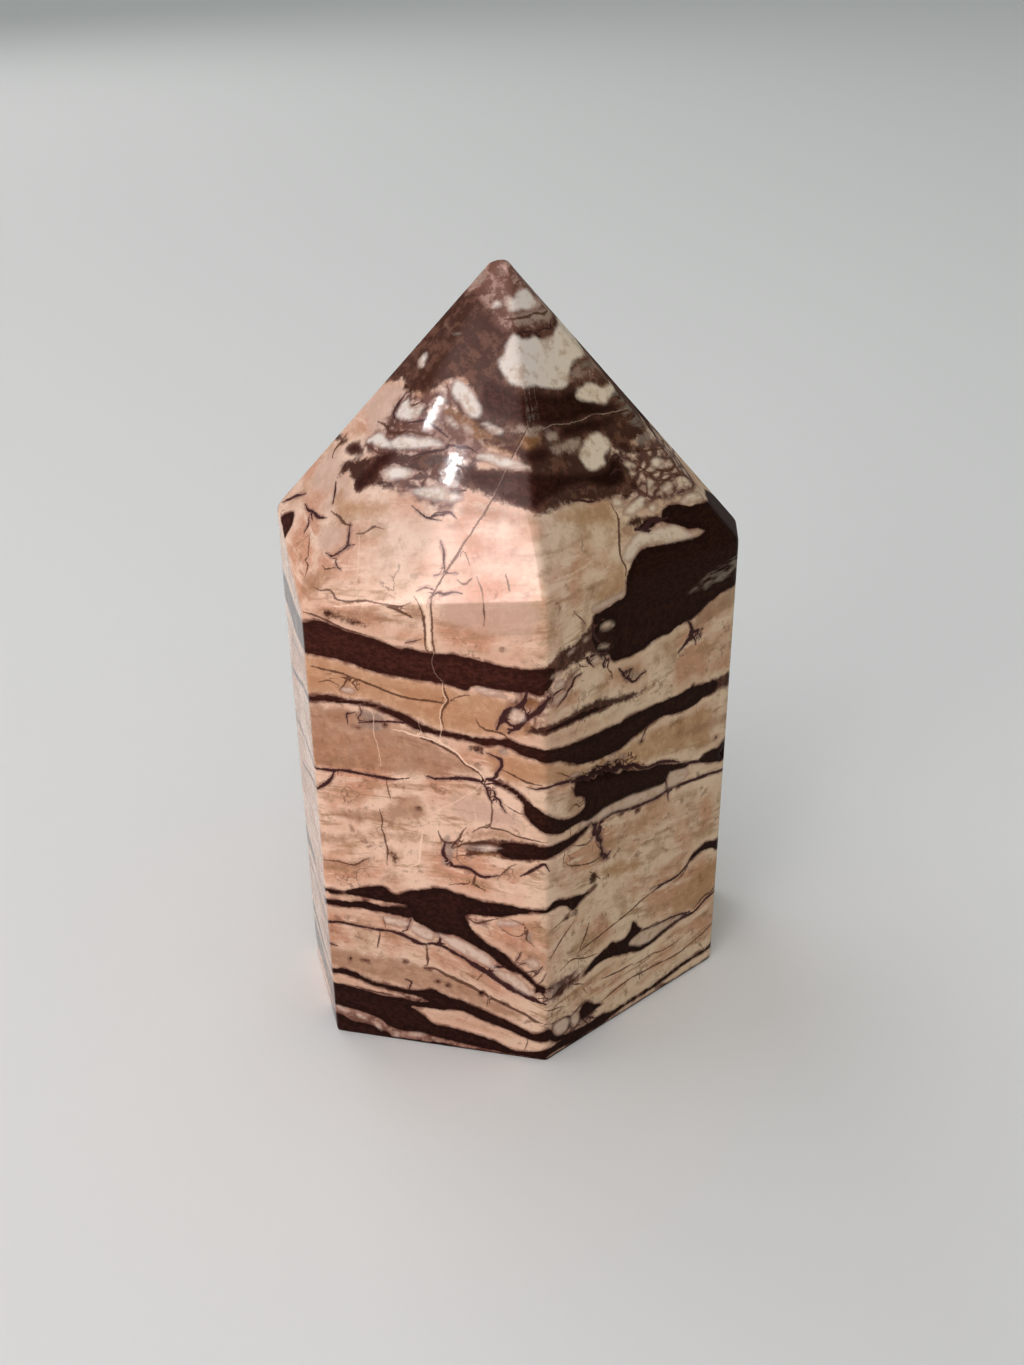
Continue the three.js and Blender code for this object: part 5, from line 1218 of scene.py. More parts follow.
HIDDEN_LINES: Threads = {Thread.DARK: (
    (0.34, 76, 38.6, 84, 39.4, 92, 41.4, 101, 44.6, 110, 46, 119, 45.6),
    (0.3, 90, 30.6, 99, 32, 108, 33.2, 118, 33, 127, 31.6, 136, 30.6, 146, 30.2, 156, 30),
    (0.26, 86, 70.6, 92, 69.6, 97, 67.8, 99, 65.6), (0.3, 112, 72.6, 114, 70.6, 113, 68.4, 115, 66.8),
    (0.24, 140, 46.8, 141.5, 44.4, 140.4, 42.4, 142, 40.4), (0.26, 106, 46.2, 107.5, 43.2, 106.6, 40.4),
    (0.28, 132, 29.8, 133.4, 27.8, 132.6, 25.6), (0.22, 146, 19.8, 147.2, 17.2, 146.4, 14.6, 147.6, 12.2),
    (0.5, -3, 45.6, 3, 46.2, 8, 47.6, 12, 48.8), (0.4, 0, 19.4, 6, 20.6, 11, 20.6, 15, 20.2),
    (0.3, 10, 13, 14, 13.6, 16.9, 14.2, 17.6, 14.2),
), Thread.BROWN: (
    (0.3, 80, 13.4, 88, 15.2, 97, 17.4, 107, 18.6, 118, 18, 129, 16.6, 140, 16.6, 151, 17.4, 160, 17.5,
     168, 17.4, 175.5, 17.2),
    (0.24, 104, 10.2, 112, 9, 122, 7.8, 134, 7.8, 146, 8, 158, 7.6),
    (0.24, 78, 46.4, 88, 47.2, 98, 46.8, 108, 44.6, 120, 43.4),
    (0.22, 122, 53.2, 132, 52.4, 142, 53.2, 152, 53.4, 160, 52.6, 168, 52.2),
    (0.24, 126, 42, 136, 40.6, 146, 39.6, 156, 39.4, 166, 40, 176, 40.3),
    (0.24, 124, 63.6, 134, 63.4, 144, 64.2, 154, 64),
    (0.22, 92, 66.6, 102, 67.2, 112, 66.2, 122, 67, 132, 68.6, 142, 68.6),
    (0.3, 5.5, 51.6, 8, 52.2, 10.5, 52.6, 13, 52.4), (0.6, -4, 37.6, 2, 38.6, 7, 39.8, 12, 40.2, 16.9, 40.3),
    (0.5, 4, 33.4, 8, 34.8, 13, 36.6, 16.9, 37.5), (0.3, -6, 17, 4, 16.8, 11, 16.2, 15.2, 16.9),
), Thread.PALE: (
    (0.06, 117, 60.6, 118.4, 55.2, 117.2, 50.6, 119.2, 46.2, 118.4, 41.4),
    (0.05, 84, 60.2, 86.4, 54.8, 85.4, 49.6, 88.2, 44.4), (0.05, 152, 36, 150.4, 31, 152, 26.4),
)}
REGIONS = (
    Region("front left", FRONT_LEFT_LAYERS, FRONT_LEFT_PATCHES, FRONT_LEFT_PEBBLES, FRONT_LEFT_LINES),
    Region("front right", FRONT_RIGHT_LAYERS, FRONT_RIGHT_PATCHES, FRONT_RIGHT_PEBBLES, FRONT_RIGHT_LINES),
    Region("point", POINT_LAYERS, POINT_PATCHES, POINT_PEBBLES, POINT_LINES),
    Region("back", HIDDEN_LAYERS, HIDDEN_PATCHES, HIDDEN_PEBBLES, HIDDEN_LINES),
)

VEIN_HOLLOW = Hollow((
    (46.9, 40.8, 0.12, 0.04), (48.6, 40.6, 0.3, 0.25), (50.2, 40.1, 0.5, 0.5), (52.2, 40, 0.7, 0.8),
    (54.4, 39.5, 0.8, 0.9), (56.4, 39.3, 0.95, 1), (58, 38.8, 0.8, 0.8), (59.4, 38, 0.5, 0.45),
    (60.2, 37.3, 0.15, 0.05),
))
EAST_CHIP = Hollow(((74.2, 33.4, 0.3, 0.1), (75.13, 33.5, 0.95, 0.55), (76, 33.6, 0.3, 0.1)), 0.2)


# The finish


class Space(Enum):
    """What a pattern of noise follows: the stone, its unfolded layers, or streaks along them."""

    STONE = "stone"
    BEDDING = "bedding"
    STREAKS = "streaks"


@dataclass(frozen=True)
class Noise:
    """Smooth noise from 0 to 1: what it follows, its waves to the millimetre and its fineness."""

    space: Space
    per_mm: float
    detail: float = 2.0
    roughness: float = 0.5


@dataclass(frozen=True)
class Fade:
    """A smooth step from start, where a value is at low, to end, where it is at high."""

    low: float
    high: float
    start: float = 0.0
    end: float = 1.0


class Value:
    """A number, colour or vector inside a material, with Python's arithmetic on it."""

    def __init__(self, wiring: "Wiring", socket: bpy.types.NodeSocket) -> None:
        """Keeps the socket that gives the value."""
        self.wiring = wiring
        self.socket = socket

    def _math(self, operation: str, first: "Number", second: "Number") -> "Value":
        """One step of arithmetic, as a node."""
        return self.wiring.add("ShaderNodeMath", {"operation": operation}, {0: first, 1: second})

    def __add__(self, other: "Number") -> "Value":
        """This value and another."""
        return self._math("ADD", self, other)

    __radd__ = __add__

    def __sub__(self, other: "Number") -> "Value":
        """This value less another."""
        return self._math("SUBTRACT", self, other)

    def __rsub__(self, other: "Number") -> "Value":
        """Another value less this one."""
        return self._math("SUBTRACT", other, self)

    def __mul__(self, other: "Number") -> "Value":
        """This value times another."""
        return self._math("MULTIPLY", self, other)

    __rmul__ = __mul__

    def __abs__(self) -> "Value":
        """The size of this value."""
        return self._math("ABSOLUTE", self, 0.0)


Number = Value | float
Colour = tuple[float, float, float]


@dataclass
class Wiring:
    """The node tree of one material, and the only place where nodes are made."""

    tree: bpy.types.NodeTree

    def add(
        self,
        kind: str,
        settings: dict[str, str | int | bool] | None = None,
        feeds: dict[str | int, Number | Colour] | None = None,
        output: str | int = 0,
    ) -> Value:
        """Adds a node.

        Args:
            kind: Blender's name for the node type.
            settings: Properties of the node, set before anything is linked.
            feeds: What goes into each socket.
            output: The socket that is wanted.

        Returns:
            The wanted output.
        """
        node = self.tree.nodes.new(kind)
        for name, setting in (settings or {}).items():
            setattr(node, name, setting)
        for socket, feed in (feeds or {}).items():
            target = node.inputs[socket]
            if isinstance(feed, Value):
                self.tree.links.new(feed.socket, target)
            elif isinstance(feed, tuple):
                target.default_value = (*feed, 1.0)[: len(target.default_value)]
            else:
                target.default_value = feed
        return Value(self, node.outputs[output])

    def attribute(self, name: str) -> Value:
        """A number stored on the mesh."""
        return self.add("ShaderNodeAttribute", {"attribute_name": name}, output="Fac")

    def vector(self, name: str) -> Value:
        """A vector stored on the mesh."""
        return self.add("ShaderNodeAttribute", {"attribute_name": name}, output="Vector")

    def stretched(self, place: Value, scale: Colour) -> Value:
        """A place with each of its axes scaled."""
        return self.add("ShaderNodeVectorMath", {"operation": "MULTIPLY"}, {0: place, 1: scale})

    def noise(self, place: Value, noise: Noise) -> Value:
        """A pattern of noise at a place."""
        feeds = {"Vector": place, "Scale": noise.per_mm}
        feeds |= {"Detail": noise.detail, "Roughness": noise.roughness}
        return self.add("ShaderNodeTexNoise", {}, feeds)

    def fade(self, value: Value, fade: Fade) -> Value:
        """A smooth step as the value goes from low to high."""
        feeds = {"Value": value, "From Min": fade.low, "From Max": fade.high}
        feeds |= {"To Min": fade.start, "To Max": fade.end}
        return self.add("ShaderNodeMapRange", {"interpolation_type": "SMOOTHSTEP"}, feeds)

    def blend(self, share: Number, first: Value | Colour, second: Value | Colour, how: str = "MIX") -> Value:
        """A mix of two colours."""
        settings = {"data_type": "RGBA", "blend_type": how}
        return self.add("ShaderNodeMix", settings, {0: share, 6: first, 7: second}, 2)

    def darken(self, share: Number, first: Value | Colour, second: Value | Colour) -> Value:
        """A mix of two colours that never makes the first one lighter."""
        return self.blend(share, first, second, "DARKEN")


@dataclass(frozen=True)
class Wash:
    """A colour laid over the ground where a pattern is strong, and less of it on the point."""

    noise: Noise
    low: float
    high: float
    colour: Colour
    strength: float = 1.0
    less_on_point: float = 0.0


@dataclass(frozen=True)
class Cells:
    """Crackled cells: how many to the millimetre, how far their joints are bent, how wide these are."""

    per_mm: float
    bend: float
    joint: Fade


@dataclass(frozen=True)
class Stain:
    """How one tone is laid on: its colours, the softness of its edge and how uneven that edge is."""

    tone: Tone
    colour: Colour
    fleck: Colour
    softness: float
    wander: float
    strength: float = 1.0
    fleck_share: float = 0.6


@dataclass
class Grain:
    """The places and the shared unevenness that every part of the finish is drawn with."""

    wiring: Wiring
    streaking: Colour = (0.22, 0.22, 1.25)
    warp_per_mm: float = 0.5
    warp_detail: float = 3.0
    east_side: Fade = Fade(-2.0, 9.0)
    over_shoulders: Fade = Fade(60.0, 70.0)

    def __post_init__(self) -> None:
        """Makes the shared patterns, in millimetres."""
        wiring = self.wiring
        place = wiring.add("ShaderNodeTexCoord", output="Object")
        self.place = wiring.stretched(place, (1.0 / MILLIMETRE,) * 3)
        self.bedding = wiring.vector("unfolded")
        streaks = wiring.stretched(self.bedding, self.streaking)
        self.spaces = {Space.STONE: self.place, Space.BEDDING: self.bedding, Space.STREAKS: streaks}
        self.made: dict[Noise, Value] = {}
        feeds = {"Vector": self.place, "Scale": self.warp_per_mm, "Detail": self.warp_detail}
        warp = wiring.add("ShaderNodeTexNoise", {}, feeds, "Color")
        self.warp = wiring.add("ShaderNodeVectorMath", {"operation": "SUBTRACT"}, {0: warp, 1: (0.5,) * 3})
        self.broad = self.noise(Noise(Space.STONE, 0.8, 4.0, 0.65)) - 0.5
        self.fine = self.noise(Noise(Space.STONE, 3.4, 3.0, 0.7)) - 0.5
        self.mottle = self.noise(Noise(Space.BEDDING, 0.7, 4.0, 0.65))
        self.uneven = self.noise(Noise(Space.STONE, 0.45, 3.0, 0.6))
        across = wiring.add("ShaderNodeSeparateXYZ", {}, {0: self.place}, "X")
        self.upward = wiring.add("ShaderNodeSeparateXYZ", {}, {0: self.place}, "Z")
        self.eastern = wiring.fade(across, self.east_side)
        self.pointed = wiring.fade(self.upward, self.over_shoulders)

    def noise(self, noise: Noise) -> Value:
        """A pattern of noise, made once however often it is asked for."""
        if noise not in self.made:
            self.made[noise] = self.wiring.noise(self.spaces[noise.space], noise)
        return self.made[noise]

    def joints(self, place: Value, per_mm: float, bend: float) -> Value:
        """Distance to the nearest joint between crackled cells, with the joints bent."""
        feeds = {0: self.warp, 1: (bend,) * 3, 2: place}
        spread = self.wiring.add("ShaderNodeVectorMath", {"operation": "MULTIPLY_ADD"}, feeds)
        feeds = {"Vector": spread, "Scale": per_mm}
        return self.wiring.add("ShaderNodeTexVoronoi", {"feature": "DISTANCE_TO_EDGE"}, feeds)

    def edge(self, name: str, broad: float, fine: float = 0.0) -> Value:
        """Distance to the edge of a marking, made uneven.

        Args:
            name: The attribute that holds the distance.
            broad: How far the edge wanders in broad waves.
            fine: How far it wanders in fine ones.

        Returns:
            The distance in millimetres, below zero inside the marking.
        """
        found = self.wiring.attribute(name) + self.broad * broad
        return found + self.fine * fine if fine else found


SAND: Colour = (0.44, 0.265, 0.165)
CREAM: Colour = (0.75, 0.545, 0.43)
UMBER: Colour = (0.25, 0.122, 0.080)
BROWN_LINE: Colour = (0.125, 0.050, 0.030)
STREAKED = Noise(Space.STREAKS, 0.62, 5.0, 0.66)
GRAINS = Noise(Space.STONE, 2.6, 3.0, 0.7)


@dataclass(frozen=True)
class Ground:
    """The stone between the bands: broad patches, streaks along the layers, grains and cracks."""

    pink: Colour = (0.58, 0.325, 0.225)
    patches: Noise = Noise(Space.BEDDING, 0.11, 4.0, 0.62)
    patch_edge: Fade = Fade(0.40, 0.60)
    washes: tuple[Wash, ...] = (
        Wash(STREAKED, 0.52, 0.66, SAND, 0.85, 0.45),
        Wash(STREAKED, 0.48, 0.36, CREAM, 0.85),
        Wash(Noise(Space.STONE, 0.24, 4.0, 0.6), 0.52, 0.70, SAND, 0.6),
        Wash(Noise(Space.STONE, 0.62, 5.0, 0.68), 0.55, 0.68, UMBER, 0.58, 0.40),
        Wash(GRAINS, 0.55, 0.76, UMBER, 0.26),
        Wash(GRAINS, 0.44, 0.30, CREAM, 0.45),
    )
    hairs: Noise = Noise(Space.STREAKS, 0.36, 5.0, 0.55)
    hair_width: Fade = Fade(0.030, 0.004)
    hair_places: Fade = Fade(0.48, 0.62)
    hair_strength: float = 0.2
    specks: Wash = Wash(Noise(Space.STONE, 1.5), 0.78, 0.82, BROWN_LINE, 0.6)
    light_by_bands: Fade = Fade(1.9, 0.6, 0.0, 0.55)
    light_wander: float = 2.0
    crack_places: Noise = Noise(Space.STONE, 0.13, 3.0, 0.6)
    crack_onset: float = 0.12
    cracks: tuple[tuple[Cells, float, float], ...] = (
        (Cells(0.15, 3.2, Fade(0.016, 0.004)), 0.52, 0.5),
        (Cells(0.42, 3.2, Fade(0.022, 0.0055)), 0.58, 0.2),
    )

    def _washed(self, wiring: Wiring, grain: Grain, wash: Wash, colour: Value) -> Value:
        """Lays one wash over the colour so far."""
        if not wash.less_on_point:
            share = wiring.fade(grain.noise(wash.noise), Fade(wash.low, wash.high, 0.0, wash.strength))
            return wiring.blend(share, colour, wash.colour)
        share = grain.pointed * -wash.less_on_point + wash.strength
        share = wiring.fade(grain.noise(wash.noise), Fade(wash.low, wash.high)) * share
        return wiring.blend(share, colour, wash.colour)

    def colour(self, wiring: Wiring, grain: Grain) -> Value:
        """The colour of the ground."""
        patches = wiring.fade(grain.noise(self.patches), self.patch_edge)
        colour = wiring.blend(patches, self.pink, CREAM)
        for wash in self.washes:
            colour = self._washed(wiring, grain, wash, colour)
        hairs = wiring.fade(abs(grain.noise(self.hairs) - 0.5), self.hair_width)
        seen = wiring.fade(grain.uneven, self.hair_places)
        share = grain.pointed * -self.hair_strength + self.hair_strength
        colour = wiring.blend(hairs * seen * share, colour, UMBER)
        colour = self._washed(wiring, grain, self.specks, colour)
        beside = grain.edge(Tone.DARK.value, self.light_wander)
        colour = wiring.blend(wiring.fade(beside, self.light_by_bands), colour, CREAM)
        presence = grain.noise(self.crack_places)
        for cells, gate, share in self.cracks:
            line = wiring.fade(grain.joints(grain.place, cells.per_mm, cells.bend), cells.joint)
            line = line * wiring.fade(presence, Fade(gate, gate + self.crack_onset))
            colour = wiring.blend(line * share, colour, BROWN_LINE)
        return colour


@dataclass(frozen=True)
class Marble:
    """Broken stone: cream fragments in a network of plum and brown."""

    pale: Colour
    milk: Colour
    plum: Colour
    fringe: Colour
    halo: Colour
    squeeze: Colour = (0.75, 0.75, 1.1)
    pieces: Cells = Cells(0.50, 2.4, Fade(0.20, 0.05, 0.0, 0.92))
    piece_rims: Fade = Fade(0.36, 0.14, 0.0, 0.7)
    crumbs: Cells = Cells(1.2, 1.6, Fade(0.10, 0.0, 0.0, 0.5))
    whitened: Fade = Fade(0.42, 0.6)
    stained: Noise = Noise(Space.STREAKS, 0.9, 4.0, 0.65)
    stain_places: Fade = Fade(0.52, 0.64, 0.0, 0.55)
    milk_on_point: float = 0.7
    joint_change: Fade = Fade(0.4, 0.6)
    wander: float = 2.4
    cover: Fade = Fade(0.7, -0.7, 0.0, 0.92)

    def over(self, wiring: Wiring, grain: Grain, colour: Value) -> Value:
        """Lays the broken stone over the colour so far."""
        squeezed = wiring.stretched(grain.bedding, self.squeeze)
        edge = grain.joints(squeezed, self.pieces.per_mm, self.pieces.bend)
        edge = edge + grain.broad * 0.5 + grain.fine * 0.12
        small = grain.joints(squeezed, self.crumbs.per_mm, self.crumbs.bend) + grain.fine * 0.16
        stain = wiring.fade(grain.noise(self.stained), self.stain_places)
        fragment = wiring.blend(wiring.fade(grain.mottle, self.whitened), CREAM, self.pale)
        fragment = wiring.blend(stain, fragment, UMBER)
        fragment = wiring.blend(grain.pointed * self.milk_on_point, fragment, self.milk)
        joint = wiring.blend(wiring.fade(grain.mottle, self.joint_change), self.plum, self.fringe)
        found = wiring.blend(wiring.fade(small, self.crumbs.joint), fragment, self.halo)
        found = wiring.blend(wiring.fade(edge, self.piece_rims), found, self.halo)
        found = wiring.blend(wiring.fade(edge, self.pieces.joint), found, joint)
        depth = grain.edge(Tone.MARBLE.value, self.wander)
        return wiring.blend(wiring.fade(depth, self.cover), colour, found)


@dataclass(frozen=True)
class Gloss:
    """The polish: smears, fine pits, a coat that shows at a glancing view, and the rough crust."""

    refraction: float = 1.54
    reflection: float = 0.035
    coat_roughness: float = 0.04
    rough_places: Fade = Fade(0.1, -0.1)
    rough_more: float = 0.4
    unpolished_more: float = 0.6
    smears: Noise = Noise(Space.STONE, 0.35, 4.0, 0.7)
    smear_roughness: Fade = Fade(0.3, 0.7, 0.22, 0.34)
    pits: Noise = Noise(Space.STONE, 5.0, 3.0, 0.7)
    pit_depth: Fade = Fade(0.62, 0.72, 1.0, 0.0)
    frosting: Noise = Noise(Space.STONE, 5.0, 2.0, 0.6)
    frosting_height: float = 0.11
    crystals: Noise = Noise(Space.STONE, 1.6, 4.0, 0.6)
    crystal_height: float = 22.0
    bump_strength: float = 0.25
    bump_distance: float = 0.00004
    glancing: Fade = Fade(0.55, 0.92, 0.0, 0.7)
    least_coat: float = 0.07
    grit: Noise = Noise(Space.STONE, 3.2, 2.0, 0.6)
    grit_places: Fade = Fade(0.54, 0.48)
    grit_heights: Fade = Fade(71.0, 73.0)
    grit_strength: float = 0.97

    def lay(self, wiring: Wiring, grain: Grain, surface: bpy.types.Node) -> None:
        """Sets everything but the colour of the surface."""
        rough = wiring.fade(grain.edge(Tone.CRUST.value, 1.0), self.rough_places)
        unpolished = wiring.attribute("far_side") * self.unpolished_more
        roughness = wiring.fade(grain.noise(self.smears), self.smear_roughness)
        roughness = roughness + rough * self.rough_more + unpolished
        height = wiring.fade(grain.noise(self.pits), self.pit_depth)
        height = height + grain.noise(self.frosting) * self.frosting_height
        height = height + grain.noise(self.crystals) * rough * self.crystal_height
        feeds = {"Height": height, "Strength": self.bump_strength, "Distance": self.bump_distance}
        bump = wiring.add("ShaderNodeBump", {}, feeds)
        view = wiring.add("ShaderNodeLayerWeight", {}, {"Blend": 0.5}, "Facing")
        coat = wiring.fade(view, self.glancing) * (1.0 - grain.eastern) + self.least_coat
        gritty = wiring.fade(grain.noise(self.grit), self.grit_places)
        gritty = gritty * wiring.fade(grain.upward, self.grit_heights)
        coat = coat * (1.0 - gritty * self.grit_strength)
        for name, value in (("Roughness", roughness), ("Normal", bump), ("Coat Weight", coat)):
            wiring.tree.links.new(value.socket, surface.inputs[name])
        numbers = {"IOR": self.refraction, "Specular IOR Level": self.reflection}
        numbers["Coat Roughness"] = self.coat_roughness
        for name, number in numbers.items():
            surface.inputs[name].default_value = number


@dataclass(frozen=True)
class JasperFinish:
    """Polished zebra jasper: a fine-grained cream and tan ground with dark folded bands."""

    name: str = "zebra_jasper"
    # Colour shifts by place: lighter on the upper west walls, darker on the low walls, bluer on the point
    # and greener on the east side. The west and east shifts are partly the stone's own colour and partly
    # painted light: the lit west side is painted lighter, and the shaded east side is tinted like the
    # greenish room light.
    west_tint_and_painted_light: Colour = (1.08, 1.08, 1.09)
    low_shift: Colour = (0.97, 0.97, 0.97)
    east_tint_and_painted_shade: Colour = (0.93, 1.0, 0.93)
    point_shift: Colour = (0.98, 1.04, 1.10)
    pale_side: Colour = (0.72, 0.565, 0.485)
    pale_east: Colour = (0.64, 0.46, 0.385)
    pale_point: Colour = (0.76, 0.65, 0.575)
    pale_point_east: Colour = (0.82, 0.645, 0.55)
    milk: Colour = (0.72, 0.545, 0.46)
    film: Colour = (0.30, 0.225, 0.19)
    fringe: Colour = (0.15, 0.056, 0.042)
    halo: Colour = (0.30, 0.155, 0.125)
    plum: Colour = (0.080, 0.031, 0.030)
    pale_line: Colour = (0.80, 0.60, 0.47)
    dark_west: Colour = (0.052, 0.0155, 0.0105)
    dark_low: Colour = (0.030, 0.0098, 0.0072)
    rust_low: Colour = (0.068, 0.023, 0.017)
    dark_east: Colour = (0.027, 0.0066, 0.0030)
    rust_west: Colour = (0.110, 0.036, 0.026)
    rust_east: Colour = (0.055, 0.018, 0.009)
    stains: tuple[Stain, ...] = (
        Stain(Tone.ROSE, (0.58, 0.39, 0.31), (0.66, 0.47, 0.38), 0.8, 1.0, 0.85),
        Stain(Tone.TAN, (0.47, 0.262, 0.150), (0.60, 0.375, 0.24), 0.7, 1.1, 0.78),
        Stain(Tone.SHADE, (0.345, 0.185, 0.112), (0.50, 0.30, 0.195), 0.7, 1.1, 0.68),
        Stain(Tone.GREY, (0.30, 0.225, 0.195), (0.46, 0.36, 0.30), 0.35, 0.7, 0.7),
        Stain(Tone.BROWN, (0.075, 0.026, 0.017), (0.195, 0.088, 0.060), 0.35, 0.9, 0.96, 0.75),
        Stain(Tone.MAUVE, (0.20, 0.095, 0.072), (0.47, 0.30, 0.245), 0.5, 1.0, 0.92, 0.85),
        Stain(Tone.AMBER, (0.30, 0.145, 0.068), (0.52, 0.31, 0.19), 0.5, 0.9, 0.85, 0.6),
        Stain(Tone.BUFF, (0.46, 0.33, 0.265), (0.26, 0.15, 0.115), 0.45, 1.1, 0.9, 0.6),
        Stain(Tone.CRUST, (0.66, 0.43, 0.28), (0.30, 0.16, 0.09), 0.25, 0.8, 0.9, 0.6),
    )
    stain_waves: float = 2.0
    stain_frays: float = 0.7
    fleck_places: Fade = Fade(0.46, 0.62)
    flakes: Cells = Cells(0.85, 1.6, Fade(0.13, 0.03))
    loose: Fade = Fade(0.25, 0.0, 0.0, 0.85)
    brown_strength: float = 0.85
    low_walls: Fade = Fade(27.0, 15.0)
    lower_walls: Fade = Fade(48.0, 26.0)
    fringe_edge: Fade = Fade(0.98, 0.40, 0.0, 0.9)
    rust: Noise = Noise(Space.BEDDING, 1.9, 4.0, 0.75)
    rust_squeeze: Colour = (0.8, 0.8, 1.2)
    rust_places: Fade = Fade(0.48, 0.70, 0.0, 0.8)
    rust_core: Fade = Fade(-0.1, -1.3, 0.0, 0.10)
    soft_on_point: Fade = Fade(69.0, 73.0, 0.0, 0.88)
    dark_edge: Fade = Fade(0.08, -0.08)
    dark_halo: Fade = Fade(0.35, 0.0, 0.0, 0.6)
    sandy_pale: Fade = Fade(0.48, 0.66, 0.0, 0.5)
    pale_rim: Fade = Fade(0.9, 0.35, 0.0, 0.6)
    pale_edge: Fade = Fade(0.30, -0.45, 0.0, 0.94)
    film_depth: Fade = Fade(0.3, -0.5, 0.15, 1.0)
    film_edge: Fade = Fade(0.2, -0.1, 0.0, 0.8)
    film_squeeze: Colour = (0.3, 0.3, 1.6)
    film_streaks: Noise = Noise(Space.BEDDING, 1.6, 3.0)
    film_streak_edge: Fade = Fade(0.40, 0.62)
    faint_over_dark: Fade = Fade(0.1, -0.1, 0.0, 0.6)
    faint_on_point: Fade = Fade(69.0, 73.0, 0.0, 0.5)
    line_edge: Fade = Fade(0.07, -0.06)
    line_ends: Fade = Fade(0.45, 0.2)

    def build(self) -> bpy.types.Material:
        """Makes the material."""
        material = bpy.data.materials.new(self.name)
        material.use_nodes = True
        wiring = Wiring(material.node_tree)
        surface = material.node_tree.nodes["Principled BSDF"]
        grain = Grain(wiring)
        marble = Marble(self.pale_side, self.milk, self.plum, self.fringe, self.halo)
        colour = marble.over(wiring, grain, Ground().colour(wiring, grain))
        for stain in self.stains:
            colour = self._stained(wiring, grain, stain, colour)
        flakes = grain.joints(grain.place, self.flakes.per_mm, self.flakes.bend)
        flakes = wiring.fade(flakes, self.flakes.joint)
        loose = wiring.fade(grain.edge(Tone.CRUST.value, self.stain_waves), self.loose)
        colour = wiring.blend(flakes * loose, colour, self.fringe)
        thread = self._threads(wiring, grain, Thread.BROWN)
        colour = wiring.blend(thread * self.brown_strength, colour, BROWN_LINE)
        colour = self._dark(wiring, grain, colour)
        colour = self._pale(wiring, grain, colour)
        # Partly painted light: the lit west side is made lighter and the shaded east side greener, over the
        # stone's own colour. The low walls are darker and the point bluer.
        shift = wiring.blend(wiring.fade(grain.upward, self.low_walls), self.west_tint_and_painted_light, self.low_shift)
        shift = wiring.blend(grain.pointed, shift, self.point_shift)
        shift = wiring.blend(grain.eastern, shift, self.east_tint_and_painted_shade)
        colour = wiring.blend(1.0, colour, shift, "MULTIPLY")
        wiring.tree.links.new(colour.socket, surface.inputs["Base Color"])
        Gloss().lay(wiring, grain, surface)
        return material

    def _stained(self, wiring: Wiring, grain: Grain, stain: Stain, colour: Value) -> Value:
        """Lays one tone over the colour so far."""
        waves, frays = self.stain_waves * stain.wander, self.stain_frays * stain.wander
        edge = grain.edge(stain.tone.value, waves, frays)
        mask = wiring.fade(edge, Fade(stain.softness, -stain.softness, 0.0, stain.strength))
        places = Fade(self.fleck_places.low, self.fleck_places.high, 0.0, stain.fleck_share)
        flecks = wiring.fade(grain.mottle + grain.fine * 0.25, places)
        return wiring.blend(mask, colour, wiring.blend(flecks, stain.colour, stain.fleck))

    def _dark(self, wiring: Wiring, grain: Grain, colour: Value) -> Value:
        """The dark bands with their reddish fringe and streaks, and the dark veins."""
        depth = grain.edge(Tone.DARK.value, 0.6, 0.14)
        colour = wiring.darken(wiring.fade(depth + grain.uneven, self.fringe_edge), colour, self.fringe)
        speckle = wiring.noise(wiring.stretched(grain.bedding, self.rust_squeeze), self.rust)
        core = wiring.fade(depth + grain.broad, self.rust_core)
        rusty = wiring.fade(speckle + core, self.rust_places)
        lower = wiring.fade(grain.upward, self.lower_walls)
        dark = wiring.blend(lower, self.dark_west, self.dark_low)
        dark = wiring.blend(grain.eastern, dark, self.dark_east)
        rust = wiring.blend(lower, self.rust_west, self.rust_low)
        rust = wiring.blend(grain.eastern, rust, self.rust_east)
        crisp = 1.0 - wiring.fade(grain.upward, self.soft_on_point)
        mask = wiring.fade(depth * crisp, self.dark_edge)
        colour = wiring.blend(mask, colour, wiring.blend(rusty, dark, rust))
        near = grain.edge(Thread.DARK.value + "_reach", 0.9)
        colour = wiring.darken(wiring.fade(near, self.dark_halo), colour, self.halo)
        return wiring.blend(self._threads(wiring, grain, Thread.DARK), colour, self.plum)

    def _pale(self, wiring: Wiring, grain: Grain, colour: Value) -> Value:
        """The pale fragments with their stained rims, and the pale healed cracks."""
        pale = wiring.blend(grain.eastern, self.pale_side, self.pale_east)
        crown = wiring.blend(grain.eastern, self.pale_point, self.pale_point_east)
        pale = wiring.blend(grain.pointed, pale, crown)
        pale = wiring.blend(wiring.fade(grain.mottle, self.sandy_pale), pale, SAND)
        depth = grain.edge(Tone.PALE.value, 0.9, 0.2)
        rim = wiring.fade(depth + grain.uneven * 0.8, self.pale_rim)
        colour = wiring.darken(rim, colour, self.halo)
        colour = wiring.blend(wiring.fade(depth, self.pale_edge), colour, pale)
        depth = grain.edge(Tone.FILM.value, 0.8)
        squeezed = wiring.stretched(grain.bedding, self.film_squeeze)
        streaks = wiring.fade(wiring.noise(squeezed, self.film_streaks), self.film_streak_edge)
        covered = wiring.fade(depth, self.film_edge) * wiring.fade(depth, self.film_depth)
        colour = wiring.blend(covered * streaks, colour, self.film)
        over_dark = wiring.fade(wiring.attribute(Tone.DARK.value), self.faint_over_dark)
        faint = (1.0 - wiring.fade(grain.upward, self.faint_on_point)) * (1.0 - over_dark)
        return wiring.blend(self._threads(wiring, grain, Thread.PALE) * faint, colour, self.pale_line)

